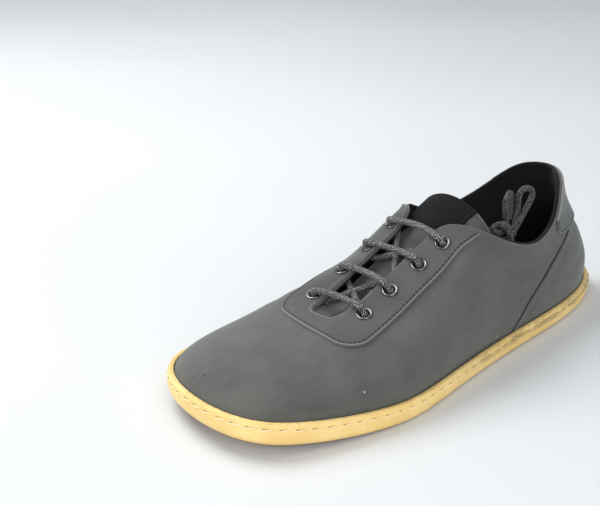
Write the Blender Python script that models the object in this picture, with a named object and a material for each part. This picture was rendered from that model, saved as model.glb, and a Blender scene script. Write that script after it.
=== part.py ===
# Lace-up barefoot shoe, left foot, standing empty on its sole.
# Metres, +Z up, toe towards -Y, outer side of the foot towards +X.
import math

import bmesh
import bpy
import numpy as np

# Driving sizes of the whole shoe
LENGTH = 0.285
BALL_WIDTH = 0.109
HEEL_HEIGHT = 0.0765

# Cup sole
SOLE_WALL = 0.0100
SOLE_FLOOR = 0.0046
TOE_SPRING = 0.0078
HEEL_LIFT = 0.0036
CUP_THICKNESS = 0.0034
GROOVE_DEPTH = 0.0006
LUG_HEIGHT = 0.0012
LUG_LENGTH = 0.0085
LUG_GAP = 0.0035
LUG_INSET = 0.0085
LUG_ROOT = 0.0006

# Cloth and leather thicknesses
UPPER_WALL = 0.0020
FACING_THICKNESS = 0.0012
TAB_THICKNESS = 0.0012
TONGUE_THICKNESS = 0.0026
LABEL_THICKNESS = 0.0005
INSOLE_THICKNESS = 0.0028
FIT_GAP = 0.0003
OVERLAY_GAP = 0.0005

# Eyelets and lace
EYELET_DIAMETER = 0.0088
EYELET_BORE = 0.0046
EYELET_WALL = 0.0004
EYELET_FLANGE = 0.0007
LACE_DIAMETER = 0.0034
BAR_RISE = 0.0052
BAR_FLAT = 0.0050
EYELET_ROLL = 0.0003
EYELET_DISH = 0.0006
PIN_REACH = 0.0050

# Mesh densities
OUTLINE_COLUMNS = 40
UPPER_COLUMNS = 104
UPPER_RINGS = 8
FACING_RINGS = 6
TAB_COLUMNS = 20
TAB_RINGS = 4
TONGUE_ROWS = 16
TONGUE_COLUMNS = 12
LABEL_ROWS = 9
LABEL_COLUMNS = 12
EYELET_SIDES = 12
TUBE_SIDES = 8
KNOT_POINTS = 28
EDGE_WEIGHT = 1.4
STRAND_STEP = 1.6
LOOP_STEP = 0.7
FINE_STEPS = 600
SEARCH_STEPS = 40
SEARCH_ROUNDS = 5
SEARCH_ZOOM = 12.0

# Small steps for slopes, as shares of the whole run
OUTLINE_STEP = 1e-4
TURN_STEP = 5e-4
CLIMB_STEP = 2e-3

HALF = 0.5
HALF_LENGTH = LENGTH * HALF
SIDE_CENTRE = -0.0005

# Shares of LENGTH from the heel: where the underside starts to rise at toe and heel, ends of the lugs
TOE_BEND = 0.68
HEEL_BEND = 0.10
TREAD_START = 0.11
TREAD_END = 0.665
LUG_BLOCKS = (3, 4)

# Side of the cup below and above the stitch groove.
# Columns: inset as share of CUP_THICKNESS, height as share of SOLE_WALL.
CUP_LOW = [
    (1.765, 0.00),
    (0.765, 0.00),
    (0.529, 0.03),
    (0.235, 0.14),
    (0.029, 0.30),
]
CUP_HIGH = [
    (0.294, 0.95),
    (0.441, 1.00),
    (0.941, 1.00),
    (1.000, 0.96),
]
TREAD_EDGE = 1.10
GROOVE_HEIGHT = 0.70
GROOVE_SLOPE = 0.12
GROOVE_HALF = 0.04
GROOVE_TOP = 0.67

# Rounding of the leather's rim, insole edge, and bends of the hidden lace strands
RIM_ROUND = 0.35
RIM_STEP = 0.99
INSOLE_ROUND = 0.0007
CROSSING_RISE = 0.4

# Turn of the lace out of an eyelet: height above the upper, shift towards the throat
BAR_TURN = [
    (-0.0020, 0.0000),
    (0.0000, 0.0000),
    (0.0021, 0.0000),
    (0.0040, 0.0009),
    (0.0055, 0.0030),
]

# Lace strands that cross under the facing: eyelet rows joined, sides, lift at the middle.
# Columns: first side and row, second side and row (outer side 0, inner side 1), lift.
CROSSINGS = [
    (0, 0, 1, 1, 0.0010),
    (1, 0, 0, 2, 0.0014),
    (0, 1, 1, 3, 0.0018),
    (1, 2, 0, 3, 0.0014),
]
CROSSING_DEPTH = 0.0050

# Loose lace behind the tongue: two strands leave the junction of tongue and collar, run through the knot
# and stand up as loops. Columns: across as share of BALL_WIDTH, along as share of LENGTH from the heel,
# up as share of HEEL_HEIGHT.
LOOP_OUTER = [
    (0.228, 0.383, 0.771),
    (0.217, 0.360, 0.740),
    (0.197, 0.341, 0.711),
    (0.185, 0.324, 0.701),
    (0.181, 0.308, 0.714),
    (0.179, 0.295, 0.758),
    (0.179, 0.284, 0.808),
    (0.179, 0.273, 0.858),
    (0.179, 0.261, 0.907),
    (0.177, 0.251, 0.959),
    (0.173, 0.254, 1.005),
    (0.165, 0.266, 1.022),
    (0.157, 0.276, 1.005),
    (0.153, 0.281, 0.962),
    (0.152, 0.280, 0.907),
    (0.153, 0.281, 0.852),
    (0.154, 0.284, 0.800),
    (0.157, 0.289, 0.750),
]
LOOP_INNER = [
    (0.197, 0.380, 0.830),
    (0.194, 0.365, 0.796),
    (0.181, 0.346, 0.763),
    (0.166, 0.329, 0.749),
    (0.154, 0.315, 0.754),
    (0.148, 0.310, 0.800),
    (0.145, 0.313, 0.855),
    (0.145, 0.314, 0.910),
    (0.143, 0.313, 0.957),
    (0.139, 0.306, 0.991),
    (0.131, 0.298, 1.000),
    (0.123, 0.289, 0.980),
    (0.119, 0.285, 0.939),
    (0.119, 0.285, 0.889),
    (0.121, 0.286, 0.839),
    (0.125, 0.290, 0.790),
]
KNOT_STATION = 2
KNOT_TURNS = 1.6
KNOT_WIDE = 0.0065
KNOT_HIGH = 0.0046
KNOT_RUN = 0.0062

# Sole outline, a row per station from heel to toe.
# Columns: share of LENGTH from the heel, outer and inner half widths as shares of BALL_WIDTH.
OUTLINE = [
    (0.020, 0.156, 0.150),
    (0.070, 0.250, 0.255),
    (0.150, 0.322, 0.308),
    (0.300, 0.378, 0.310),
    (0.450, 0.420, 0.314),
    (0.600, 0.482, 0.400),
    (0.700, 0.512, 0.484),
    (0.800, 0.476, 0.520),
    (0.900, 0.396, 0.484),
    (0.960, 0.302, 0.362),
]
TOE_TIP = -0.075

# Sections of the upper, a row per section round the shoe from the heel by the outer side and the toe.
# Columns: side and share of LENGTH where the section leaves the sole; edge of the opening as shares of
# BALL_WIDTH across, LENGTH from the heel and HEEL_HEIGHT up; then the shape of the wall: rise of the
# steep lower part, swell outwards (share of BALL_WIDTH), reach of the flatter upper part, its fall.
SECTIONS = [
    (0, 0.000, -0.028, 0.087, 0.990, 0.42, 0.030, 0.20, 0.42),
    (1, 0.020, 0.068, 0.106, 0.968, 0.42, 0.030, 0.20, 0.42),
    (1, 0.090, 0.160, 0.147, 0.880, 0.42, 0.026, 0.20, 0.42),
    (1, 0.170, 0.234, 0.198, 0.735, 0.45, 0.022, 0.20, 0.40),
    (1, 0.240, 0.270, 0.254, 0.662, 0.45, 0.018, 0.25, 0.38),
    (1, 0.310, 0.285, 0.307, 0.673, 0.48, 0.016, 0.30, 0.36),
    (1, 0.370, 0.285, 0.367, 0.758, 0.52, 0.014, 0.40, 0.32),
    (1, 0.430, 0.266, 0.412, 0.850, 0.58, 0.014, 0.55, 0.26),
    (1, 0.455, 0.239, 0.435, 0.895, 0.62, 0.014, 0.62, 0.22),
    (1, 0.480, 0.174, 0.461, 0.922, 0.66, 0.014, 0.70, 0.16),
    (1, 0.505, 0.119, 0.481, 0.906, 0.68, 0.014, 0.74, 0.13),
    (1, 0.530, 0.094, 0.507, 0.844, 0.68, 0.014, 0.74, 0.12),
    (1, 0.600, 0.087, 0.570, 0.725, 0.62, 0.014, 0.70, 0.14),
    (1, 0.670, 0.087, 0.633, 0.614, 0.58, 0.012, 0.66, 0.18),
    (1, 0.770, 0.083, 0.685, 0.526, 0.53, 0.008, 0.62, 0.20),
    (1, 0.900, 0.056, 0.718, 0.479, 0.48, 0.004, 0.62, 0.20),
    (0, 1.000, -0.017, 0.727, 0.466, 0.42, 0.000, 0.60, 0.20),
    (-1, 0.910, -0.093, 0.720, 0.465, 0.36, 0.000, 0.56, 0.20),
    (-1, 0.800, -0.118, 0.689, 0.488, 0.42, 0.004, 0.62, 0.17),
    (-1, 0.700, -0.119, 0.623, 0.601, 0.50, 0.008, 0.64, 0.20),
    (-1, 0.600, -0.119, 0.549, 0.732, 0.52, 0.012, 0.62, 0.22),
    (-1, 0.520, -0.124, 0.491, 0.844, 0.68, 0.014, 0.74, 0.12),
    (-1, 0.495, -0.142, 0.467, 0.903, 0.68, 0.014, 0.74, 0.13),
    (-1, 0.470, -0.183, 0.451, 0.919, 0.66, 0.014, 0.70, 0.16),
    (-1, 0.445, -0.239, 0.432, 0.889, 0.62, 0.014, 0.62, 0.22),
    (-1, 0.415, -0.275, 0.402, 0.834, 0.58, 0.014, 0.55, 0.26),
    (-1, 0.360, -0.294, 0.353, 0.758, 0.52, 0.014, 0.40, 0.32),
    (-1, 0.300, -0.294, 0.290, 0.732, 0.48, 0.016, 0.30, 0.36),
    (-1, 0.235, -0.275, 0.226, 0.778, 0.45, 0.018, 0.25, 0.38),
    (-1, 0.170, -0.243, 0.167, 0.869, 0.42, 0.022, 0.20, 0.40),
    (-1, 0.090, -0.183, 0.127, 0.960, 0.42, 0.026, 0.20, 0.42),
    (-1, 0.020, -0.112, 0.099, 0.990, 0.42, 0.030, 0.20, 0.42),
]

# Lace facing seen from above: a rounded tongue shape round the lace throat, narrower towards the ankle,
# its front end bowed with the foremost spot on the outer side
FACING_FIRST = 8.0
FACING_LAST = 24.0
FACING_HALF_WIDTH = 0.287
FACING_END = 0.7716
FACING_CORNER = 0.105
FACING_PEAK = 0.078
FACING_BOW = 0.6
FACING_TAPER = 0.04
FACING_SEARCH = (0.985, 0.2)

# Depth of the heel tab below the collar edge, as shares of BALL_WIDTH.
# Columns: section number counted from the heel, inner side negative; depth.
TAB_DEPTH = [
    (-3.00, 0.060),
    (-2.80, 0.120),
    (-2.40, 0.165),
    (-2.00, 0.205),
    (-1.00, 0.262),
    (0.00, 0.270),
    (1.00, 0.258),
    (2.00, 0.196),
    (2.50, 0.138),
    (2.80, 0.100),
    (2.95, 0.064),
]

# Tongue, a row per station from its root under the vamp to its free end.
# Columns: share of LENGTH from the heel, height of its crown as share of HEEL_HEIGHT,
# half width as share of BALL_WIDTH, fall of its sides as share of HEEL_HEIGHT.
TONGUE = [
    (0.742, 0.428, 0.130, 0.045),
    (0.712, 0.438, 0.150, 0.055),
    (0.675, 0.442, 0.168, 0.070),
    (0.623, 0.508, 0.180, 0.085),
    (0.549, 0.636, 0.196, 0.105),
    (0.480, 0.782, 0.208, 0.145),
    (0.447, 0.894, 0.218, 0.190),
    (0.423, 0.985, 0.240, 0.252),
    (0.408, 1.035, 0.252, 0.292),
]

# Rows of eyelets from the toe end upwards. Columns for the outer, then the inner side:
# share of LENGTH from the heel, distance from the middle as share of BALL_WIDTH.
EYELETS = [
    (0.688, 0.163, 0.689, 0.168),
    (0.626, 0.161, 0.621, 0.164),
    (0.559, 0.170, 0.557, 0.161),
    (0.504, 0.182, 0.496, 0.161),
]


def clear_scene():
    for item in list(bpy.data.objects):
        bpy.data.objects.remove(item, do_unlink=True)
    for group in list(bpy.data.collections):
        bpy.data.collections.remove(group)


def make_collection(name):
    group = bpy.data.collections.new(name)
    bpy.context.scene.collection.children.link(group)
    return group


def make_material(name, colour, roughness, metallic=0.0):
    material = bpy.data.materials.new(name)
    material.use_nodes = True
    shader = material.node_tree.nodes["Principled BSDF"]
    shader.inputs["Base Color"].default_value = (*colour, 1.0)
    shader.inputs["Roughness"].default_value = roughness
    shader.inputs["Metallic"].default_value = metallic
    return material


# Periodic cubic spline through rows of values at given knots
def loop_spline(knots, rows):
    rows = np.asarray(rows, float)
    knots = np.asarray(knots, float)
    count = len(rows)
    steps = np.diff(knots)
    before = np.roll(steps, 1)
    matrix = np.zeros((count, count))
    index = np.arange(count)
    matrix[index, index] = 2.0 * (before + steps)
    matrix[index, (index + 1) % count] += steps
    matrix[index, (index - 1) % count] += before
    rises = (np.roll(rows, -1, 0) - rows) / steps[:, None]
    bends = np.linalg.solve(matrix, 6.0 * (rises - np.roll(rises, 1, 0)))

    def evaluate(values):
        values = knots[0] + np.mod(np.asarray(values, float) - knots[0], knots[-1] - knots[0])
        low = np.clip(np.searchsorted(knots, values, side="right") - 1, 0, count - 1)
        high = (low + 1) % count
        step = steps[low]
        part = ((values - knots[low]) / step)[..., None]
        rest = 1.0 - part
        curve = (rest ** 3 - rest) * bends[low] + (part ** 3 - part) * bends[high]
        return rest * rows[low] + part * rows[high] + curve * (step ** 2 / 6.0)[..., None]

    return evaluate


# Open smooth curve through a few rows, by a cubic between rows with rounded tangents
def open_curve(rows, values):
    rows = np.asarray(rows, float)
    values = np.asarray(values, float)
    slopes = np.gradient(rows, axis=0)
    low = np.clip(np.floor(values).astype(int), 0, len(rows) - 2)
    part = (values - low)[..., None]
    a, b = rows[low], rows[low + 1]
    da, db = slopes[low], slopes[low + 1]
    square, cube = part ** 2, part ** 3
    return (a * (2 * cube - 3 * square + 1) + da * (cube - 2 * square + part)
            + b * (3 * square - 2 * cube) + db * (cube - square))


def closed_knots(points):
    steps = np.linalg.norm(np.roll(points, -1, 0) - points, axis=1)
    return np.concatenate([[0.0], np.cumsum(steps)])


# Plan outline of the sole as one closed loop, heel first, then the outer side
def outline_points():
    outer = [(row[1] * BALL_WIDTH, HALF_LENGTH - row[0] * LENGTH) for row in OUTLINE]
    inner = [(-row[2] * BALL_WIDTH, HALF_LENGTH - row[0] * LENGTH) for row in OUTLINE]
    heel = [(0.0, HALF_LENGTH)]
    toe = [(TOE_TIP * BALL_WIDTH, -HALF_LENGTH)]
    points = np.array(heel + outer + toe + inner[::-1])
    return points - np.array([SIDE_CENTRE, 0.0])


OUTLINE_POINTS = outline_points()
OUTLINE_KNOTS = closed_knots(OUTLINE_POINTS)
OUTLINE_CURVE = loop_spline(OUTLINE_KNOTS, OUTLINE_POINTS)
OUTLINE_LENGTH = OUTLINE_KNOTS[-1]
TOE_KNOT = OUTLINE_KNOTS[len(OUTLINE) + 1]


def outline_inset(values, inset):
    step = OUTLINE_LENGTH * OUTLINE_STEP
    here = OUTLINE_CURVE(values)
    tangent = OUTLINE_CURVE(values + step) - OUTLINE_CURVE(values - step)
    tangent /= np.linalg.norm(tangent, axis=-1, keepdims=True)
    normal = np.stack([tangent[..., 1], -tangent[..., 0]], -1)
    return here + normal * inset


# Height of the underside above the floor along the shoe
def underside(y):
    share = HALF - y / LENGTH
    toe = np.clip((share - TOE_BEND) / (1.0 - TOE_BEND), 0.0, 1.0)
    heel = np.clip(1.0 - share / HEEL_BEND, 0.0, 1.0)
    return TOE_SPRING * toe ** 2 + HEEL_LIFT * heel ** 2


# Values along the outline, the same number from heel to toe on both sides
def outline_values():
    spread = np.linspace(0.0, 1.0, OUTLINE_COLUMNS + 1)
    outer = TOE_KNOT * spread
    inner = TOE_KNOT + (OUTLINE_LENGTH - TOE_KNOT) * spread
    return np.concatenate([outer[:-1], inner[:-1]])


def ring(values, inset, lift):
    plan = outline_inset(values, inset)
    return np.column_stack([plan, underside(plan[:, 1]) + lift])


def foot_value(side, share):
    level = HALF_LENGTH - share * LENGTH
    dense = np.linspace(OUTLINE_LENGTH if side < 0 else 0.0, TOE_KNOT, FINE_STEPS)
    if side == 0:
        return TOE_KNOT if share > HALF else 0.0
    return float(np.interp(-level, -OUTLINE_CURVE(dense)[:, 1], dense))


# Table of sections turned into smooth loops over one running value
def section_loops():
    feet = np.array([foot_value(row[0], row[1]) for row in SECTIONS])
    edges = np.array([(row[2] * BALL_WIDTH - SIDE_CENTRE, HALF_LENGTH - row[3] * LENGTH,
                       row[4] * HEEL_HEIGHT) for row in SECTIONS])
    feet_plan = OUTLINE_CURVE(feet)
    top_steps = np.linalg.norm(np.roll(edges, -1, 0) - edges, axis=1)
    foot_steps = np.linalg.norm(np.roll(feet_plan, -1, 0) - feet_plan, axis=1)
    knots = np.concatenate([[0.0], np.cumsum(HALF * (top_steps + foot_steps))])
    drift = feet - knots[:-1] * OUTLINE_LENGTH / knots[-1]
    shapes = np.array([row[5:] for row in SECTIONS])
    columns = np.column_stack([drift, edges, shapes])
    return knots, loop_spline(knots, columns)


SECTION_KNOTS, SECTION_CURVE = section_loops()
SECTION_TOTAL = SECTION_KNOTS[-1]
UPPER_INSET = CUP_THICKNESS + FIT_GAP


# Running value at a section number, which may be a fraction or negative
def at_section(number):
    count = len(SECTIONS)
    number = np.asarray(number, float)
    turns = np.floor(number / count)
    return np.interp(number - turns * count, np.arange(count + 1), SECTION_KNOTS) + turns * SECTION_TOTAL


# Outer face of the upper: running value round the shoe, share of the way from sole to opening
def upper_face(around, up):
    around, up = np.broadcast_arrays(np.asarray(around, float), np.asarray(up, float))
    row = SECTION_CURVE(around)
    foot_at = row[..., 0] + np.mod(around, SECTION_TOTAL) * OUTLINE_LENGTH / SECTION_TOTAL
    plan = outline_inset(foot_at, UPPER_INSET)
    foot = np.concatenate([plan, (underside(plan[..., 1]) + SOLE_WALL)[..., None]], -1)
    edge = row[..., 1:4]
    rise, swell, reach, fall = (row[..., 4 + k][..., None] for k in range(4))
    across = edge - foot
    height = across[..., 2:3]
    flat = across * np.array([1.0, 1.0, 0.0])
    outward = outline_inset(foot_at, 0.0) - plan
    outward = np.concatenate([outward, np.zeros_like(outward[..., :1])], -1) / UPPER_INSET
    lift = np.array([0.0, 0.0, 1.0])
    low = foot + outward * swell * BALL_WIDTH + lift * height * rise
    high = edge - flat * reach - lift * height * fall
    part = up[..., None]
    rest = 1.0 - part
    return rest ** 3 * foot + 3 * rest ** 2 * part * low + 3 * rest * part ** 2 * high + part ** 3 * edge


def upper_normal(around, up):
    turn = SECTION_TOTAL * TURN_STEP
    up = np.asarray(up, float)
    above = np.minimum(up + CLIMB_STEP, 1.0)
    below = np.maximum(up - CLIMB_STEP, 0.0)
    along = upper_face(around + turn, up) - upper_face(around - turn, up)
    upward = upper_face(around, above) - upper_face(around, below)
    normal = np.cross(upward, along)
    return normal / np.linalg.norm(normal, axis=-1, keepdims=True)


def upper_offset(around, up, distance):
    return upper_face(around, up) + upper_normal(around, up) * distance


# Share of the way up that lies a given distance below the opening edge
def share_below_edge(around, depth):
    shares = np.linspace(1.0, 0.0, FINE_STEPS)
    spots = upper_face(np.asarray(around)[:, None], shares[None, :])
    run = np.linalg.norm(np.diff(spots, axis=1), axis=2)
    run = np.concatenate([np.zeros((len(spots), 1)), np.cumsum(run, axis=1)], axis=1)
    return np.array([np.interp(d, r, shares) for d, r in zip(depth, run)])


# Mesh object from vertices and faces, placed in a collection
def add_mesh(name, vertices, faces, material, group):
    mesh = bpy.data.meshes.new(name)
    mesh.from_pydata([tuple(map(float, v)) for v in vertices], [], faces)
    mesh.validate()
    body = bpy.data.objects.new(name, mesh)
    group.objects.link(body)
    mesh.materials.append(material)
    work = bmesh.new()
    work.from_mesh(mesh)
    bmesh.ops.recalc_face_normals(work, faces=work.faces)
    work.to_mesh(mesh)
    work.free()
    for face in mesh.polygons:
        face.use_smooth = True
    return body


# Closed rings stacked one after another; the first and last may be bridged or joined
def band_faces(count, bands, wrap_bands):
    faces = []
    for band in range(bands if wrap_bands else bands - 1):
        following = (band + 1) % bands
        for k in range(count):
            after = (k + 1) % count
            faces.append((band * count + k, band * count + after, following * count + after,
                          following * count + k))
    return faces


# Ladder of faces that closes a ring whose points run out along one side and back along the other
def ladder_faces(start, count, flip):
    half = count // 2
    faces = []
    for k in range(half):
        near, far = start + k, start + k + 1
        back_near, back_far = start + (count - k) % count, start + count - k - 1
        loop = [near, far, back_far, back_near]
        loop = [p for n, p in enumerate(loop) if p not in loop[:n]]
        faces.append(tuple(loop[::-1] if flip else loop))
    return faces


# Plate between two grids of points: outside, inside and the four edges
def plate(name, outside, inside, material, group):
    rows, columns = outside.shape[:2]
    vertices = np.concatenate([outside.reshape(-1, 3), inside.reshape(-1, 3)])
    shift = rows * columns
    faces = []
    for i in range(rows - 1):
        for j in range(columns - 1):
            a, b = i * columns + j, i * columns + j + 1
            c, d = (i + 1) * columns + j + 1, (i + 1) * columns + j
            faces.append((a, b, c, d))
            faces.append((a + shift, d + shift, c + shift, b + shift))
    border = [j for j in range(columns - 1)]
    border += [i * columns + columns - 1 for i in range(rows - 1)]
    border += [(rows - 1) * columns + j for j in range(columns - 1, 0, -1)]
    border += [i * columns for i in range(rows - 1, 0, -1)]
    for k, here in enumerate(border):
        there = border[(k + 1) % len(border)]
        faces.append((here, here + shift, there + shift, there))
    return add_mesh(name, vertices, faces, material, group)


def apply_boolean(body, cutter, operation):
    step = body.modifiers.new(operation.lower(), "BOOLEAN")
    step.operation = operation
    step.solver = "EXACT"
    step.object = cutter


def hide_cutter(cutter):
    cutter.hide_render = True
    cutter.display_type = "WIRE"


# Cup sole with rounded lower edge, stitch groove, lip and hollow top
def build_sole(material, group, cutters):
    values = outline_values()
    groove = SOLE_WALL * GROOVE_HEIGHT
    slope = SOLE_WALL * GROOVE_SLOPE
    half = SOLE_WALL * GROOVE_HALF
    low = [(inset * CUP_THICKNESS, height * SOLE_WALL) for inset, height in CUP_LOW]
    high = [(inset * CUP_THICKNESS, height * SOLE_WALL) for inset, height in CUP_HIGH]
    profile = [(low[0][0] * TREAD_EDGE, LUG_HEIGHT)] + low
    profile += [
        (0.0, groove - slope),
        (GROOVE_DEPTH, groove - half),
        (GROOVE_DEPTH, groove + half),
        (GROOVE_DEPTH * GROOVE_TOP, groove + slope),
    ]
    profile += high + [(CUP_THICKNESS, SOLE_FLOOR)]
    rings = [ring(values, inset, lift) for inset, lift in profile]
    count = len(values)
    vertices = np.concatenate(rings)
    faces = band_faces(count, len(rings), False)
    faces += ladder_faces(0, count, True)
    faces += ladder_faces((len(rings) - 1) * count, count, False)
    sole = add_mesh("outsole", vertices, faces, material, group)
    lugs = build_lugs(material, cutters)
    apply_boolean(sole, lugs, "UNION")
    return sole


# Low blocks in rows across the flat part of the underside
def build_lugs(material, cutters):
    pitch = LUG_LENGTH + LUG_GAP
    count = int((TREAD_END - TREAD_START) * LENGTH / pitch)
    vertices, faces = [], []
    corners = [(0, 0), (1, 0), (1, 1), (0, 1)]
    dense = np.linspace(0.0, 1.0, FINE_STEPS)
    outer = outline_inset(TOE_KNOT * dense, LUG_INSET)
    inner = outline_inset(OUTLINE_LENGTH - (OUTLINE_LENGTH - TOE_KNOT) * dense, LUG_INSET)
    for row in range(count):
        back = HALF_LENGTH - TREAD_START * LENGTH - row * pitch
        front = back - LUG_LENGTH
        spans = []
        for y in (back, front):
            spans.append((np.interp(-y, -inner[:, 1], inner[:, 0]), np.interp(-y, -outer[:, 1], outer[:, 0])))
        blocks = LUG_BLOCKS[row % 2]
        gap = LUG_GAP * HALF
        for block in range(blocks):
            start = len(vertices)
            shares = (block / blocks, (block + 1) / blocks)
            for z in (0.0, LUG_HEIGHT + LUG_ROOT):
                for i, j in corners:
                    low, high = spans[j]
                    x = low + (high - low) * shares[i] + (gap if i == 0 else -gap)
                    vertices.append((x, back if j == 0 else front, z))
            for k in range(4):
                after = (k + 1) % 4
                faces.append((start + k, start + after, start + 4 + after, start + 4 + k))
            faces.append(tuple(start + k for k in (3, 2, 1, 0)))
            faces.append(tuple(start + 4 + k for k in range(4)))
    lugs = add_mesh("lug_blocks", vertices, faces, material, cutters)
    hide_cutter(lugs)
    return lugs


# Running values round the upper, closer together where the surface turns quickly
def upper_columns():
    dense = np.linspace(0.0, SECTION_TOTAL, 4 * FINE_STEPS)
    top = upper_face(dense, 1.0)
    foot = upper_face(dense, 0.0)
    step_top = np.linalg.norm(np.diff(top, axis=0), axis=1)
    step_foot = np.linalg.norm(np.diff(foot, axis=0), axis=1)
    run = np.concatenate([[0.0], np.cumsum(np.maximum(step_top * EDGE_WEIGHT, step_foot))])
    even = np.linspace(0.0, run[-1], UPPER_COLUMNS, endpoint=False)
    return np.interp(even, run, dense)


def build_upper(material, group):
    around = upper_columns()
    shares = np.linspace(0.0, 1.0, UPPER_RINGS)
    depth = SOLE_WALL - SOLE_FLOOR - FIT_GAP
    lift = np.array([0.0, 0.0, 1.0])
    rings = []
    outer_foot = upper_face(around, 0.0)
    rings.append(outer_foot - lift * depth)
    for share in shares:
        rings.append(upper_face(around, share))
    edge = upper_face(around, 1.0)
    tip = edge - upper_face(around, RIM_STEP)
    tip /= np.linalg.norm(tip, axis=1, keepdims=True)
    rings.append(upper_offset(around, 1.0, -UPPER_WALL * HALF) + tip * UPPER_WALL * RIM_ROUND)
    for share in shares[::-1]:
        rings.append(upper_offset(around, share, -UPPER_WALL))
    inner_foot = upper_offset(around, 0.0, -UPPER_WALL)
    rings.append(np.column_stack([inner_foot[:, :2], (outer_foot - lift * depth)[:, 2]]))
    vertices = np.concatenate(rings)
    faces = band_faces(len(around), len(rings), True)
    return add_mesh("upper", vertices, faces, material, group)


def overlay_grid(numbers, depths, distance):
    around = at_section(numbers)
    reach = share_below_edge(around, depths)
    blend = np.linspace(0.0, 1.0, TAB_RINGS)
    shares = 1.0 - (1.0 - reach[:, None]) * blend[None, :]
    return upper_offset(around[:, None], shares, distance)


def smooth_depths(table, numbers):
    rows = np.array(table)
    spots = np.interp(numbers, rows[:, 0], np.arange(len(rows)))
    return open_curve(rows[:, 1:], spots)[:, 0] * BALL_WIDTH


# How far a plan position lies outside the outline of the facing
def outside_facing(spots):
    corner = FACING_CORNER * BALL_WIDTH
    across = spots[..., 0] + SIDE_CENTRE
    bow = FACING_BOW * (across - FACING_PEAK * BALL_WIDTH) ** 2 / BALL_WIDTH
    behind = spots[..., 1] - HALF_LENGTH + FACING_END * LENGTH - bow
    wide = FACING_HALF_WIDTH * BALL_WIDTH - FACING_TAPER * behind - corner
    aside = np.maximum(np.abs(across) - wide, 0.0)
    ahead = np.maximum(corner - behind, 0.0)
    return np.hypot(aside, ahead) - corner


def build_facing(material, group):
    first, last = at_section(FACING_FIRST), at_section(FACING_LAST)
    around = upper_columns()
    around = around[(around > first) & (around < last)]
    around = np.concatenate([[first], around, [last]])
    shares = np.linspace(*FACING_SEARCH, FINE_STEPS)
    outside = outside_facing(upper_face(around[:, None], shares[None, :]))
    reach = np.array([np.interp(0.0, row, shares) for row in outside])
    blend = np.linspace(0.0, 1.0, FACING_RINGS)
    grid = 1.0 - (1.0 - reach[:, None]) * blend[None, :]
    inside = upper_offset(around[:, None], grid, OVERLAY_GAP)
    outer = upper_offset(around[:, None], grid, OVERLAY_GAP + FACING_THICKNESS)
    return plate("lace_facing", outer, inside, material, group)


def build_heel_tab(material, group):
    numbers = np.linspace(TAB_DEPTH[0][0], TAB_DEPTH[-1][0], TAB_COLUMNS)
    depths = smooth_depths(TAB_DEPTH, numbers)
    inside = overlay_grid(numbers, depths, OVERLAY_GAP)
    outside = overlay_grid(numbers, depths, OVERLAY_GAP + TAB_THICKNESS)
    return plate("heel_tab", outside, inside, material, group)


# Bow of the tongue across its width, shift of its middle and curve of its free end
TONGUE_BOW_SHARE = 0.94
TONGUE_SHIFT = 0.010
TONGUE_END_CURVE = 0.006
FULL_BOW = 1.0 - math.sqrt(1.0 - TONGUE_BOW_SHARE ** 2)

# Cloth label on the tongue: first and last station, inner and outer side
LABEL_STATIONS = (5.5, 7.9)
LABEL_SIDES = (-0.92, 0.60)


# Top face of the tongue: station along it, share across from inner to outer side
def tongue_face(stations, across, drop):
    rows = np.array(TONGUE)
    row = open_curve(rows, np.asarray(stations, float))
    side = np.asarray(across, float)
    y = HALF_LENGTH - row[:, 0] * LENGTH
    crown = row[:, 1] * HEEL_HEIGHT
    width = row[:, 2] * BALL_WIDTH
    fall = row[:, 3] * HEEL_HEIGHT
    bow = 1.0 - np.sqrt(1.0 - (TONGUE_BOW_SHARE * side) ** 2)
    x = side[None, :] * width[:, None] + TONGUE_SHIFT * BALL_WIDTH
    z = crown[:, None] - fall[:, None] * bow[None, :] / FULL_BOW
    spread = np.broadcast_to(y[:, None], x.shape)
    back = np.clip((np.asarray(stations) - (len(rows) - 2)), 0.0, 1.0)[:, None]
    y_end = spread + back * side[None, :] ** 2 * TONGUE_END_CURVE
    face = np.stack([x, y_end, z], -1)
    along = np.gradient(face, axis=0)
    sideways = np.gradient(face, axis=1)
    normal = np.cross(sideways, along)
    normal /= np.linalg.norm(normal, axis=-1, keepdims=True)
    return face - normal * drop * np.sign(normal[..., 2:3])


def build_tongue(material, group):
    stations = np.linspace(0.0, len(TONGUE) - 1, TONGUE_ROWS)
    across = np.linspace(-1.0, 1.0, TONGUE_COLUMNS + 1)
    top = tongue_face(stations, across, 0.0)
    under = tongue_face(stations, across, TONGUE_THICKNESS)
    return plate("tongue", top, under, material, group)


def build_label(material, group):
    stations = np.linspace(*LABEL_STATIONS, LABEL_ROWS)
    across = np.linspace(*LABEL_SIDES, LABEL_COLUMNS)
    top = tongue_face(stations, across, -FIT_GAP - LABEL_THICKNESS)
    under = tongue_face(stations, across, -FIT_GAP)
    return plate("tongue_label", top, under, material, group)


def build_insole(material, group):
    values = outline_values()
    inset = UPPER_INSET + UPPER_WALL + 2.0 * FIT_GAP
    low = SOLE_FLOOR + FIT_GAP
    high = low + INSOLE_THICKNESS
    profile = [
        (inset, low),
        (inset, high - INSOLE_ROUND),
        (inset + INSOLE_ROUND, high),
    ]
    rings = [ring(values, *row) for row in profile]
    count = len(values)
    faces = band_faces(count, len(rings), False)
    faces += ladder_faces(0, count, True)
    faces += ladder_faces((len(rings) - 1) * count, count, False)
    return add_mesh("insole", np.concatenate(rings), faces, material, group)


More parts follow.
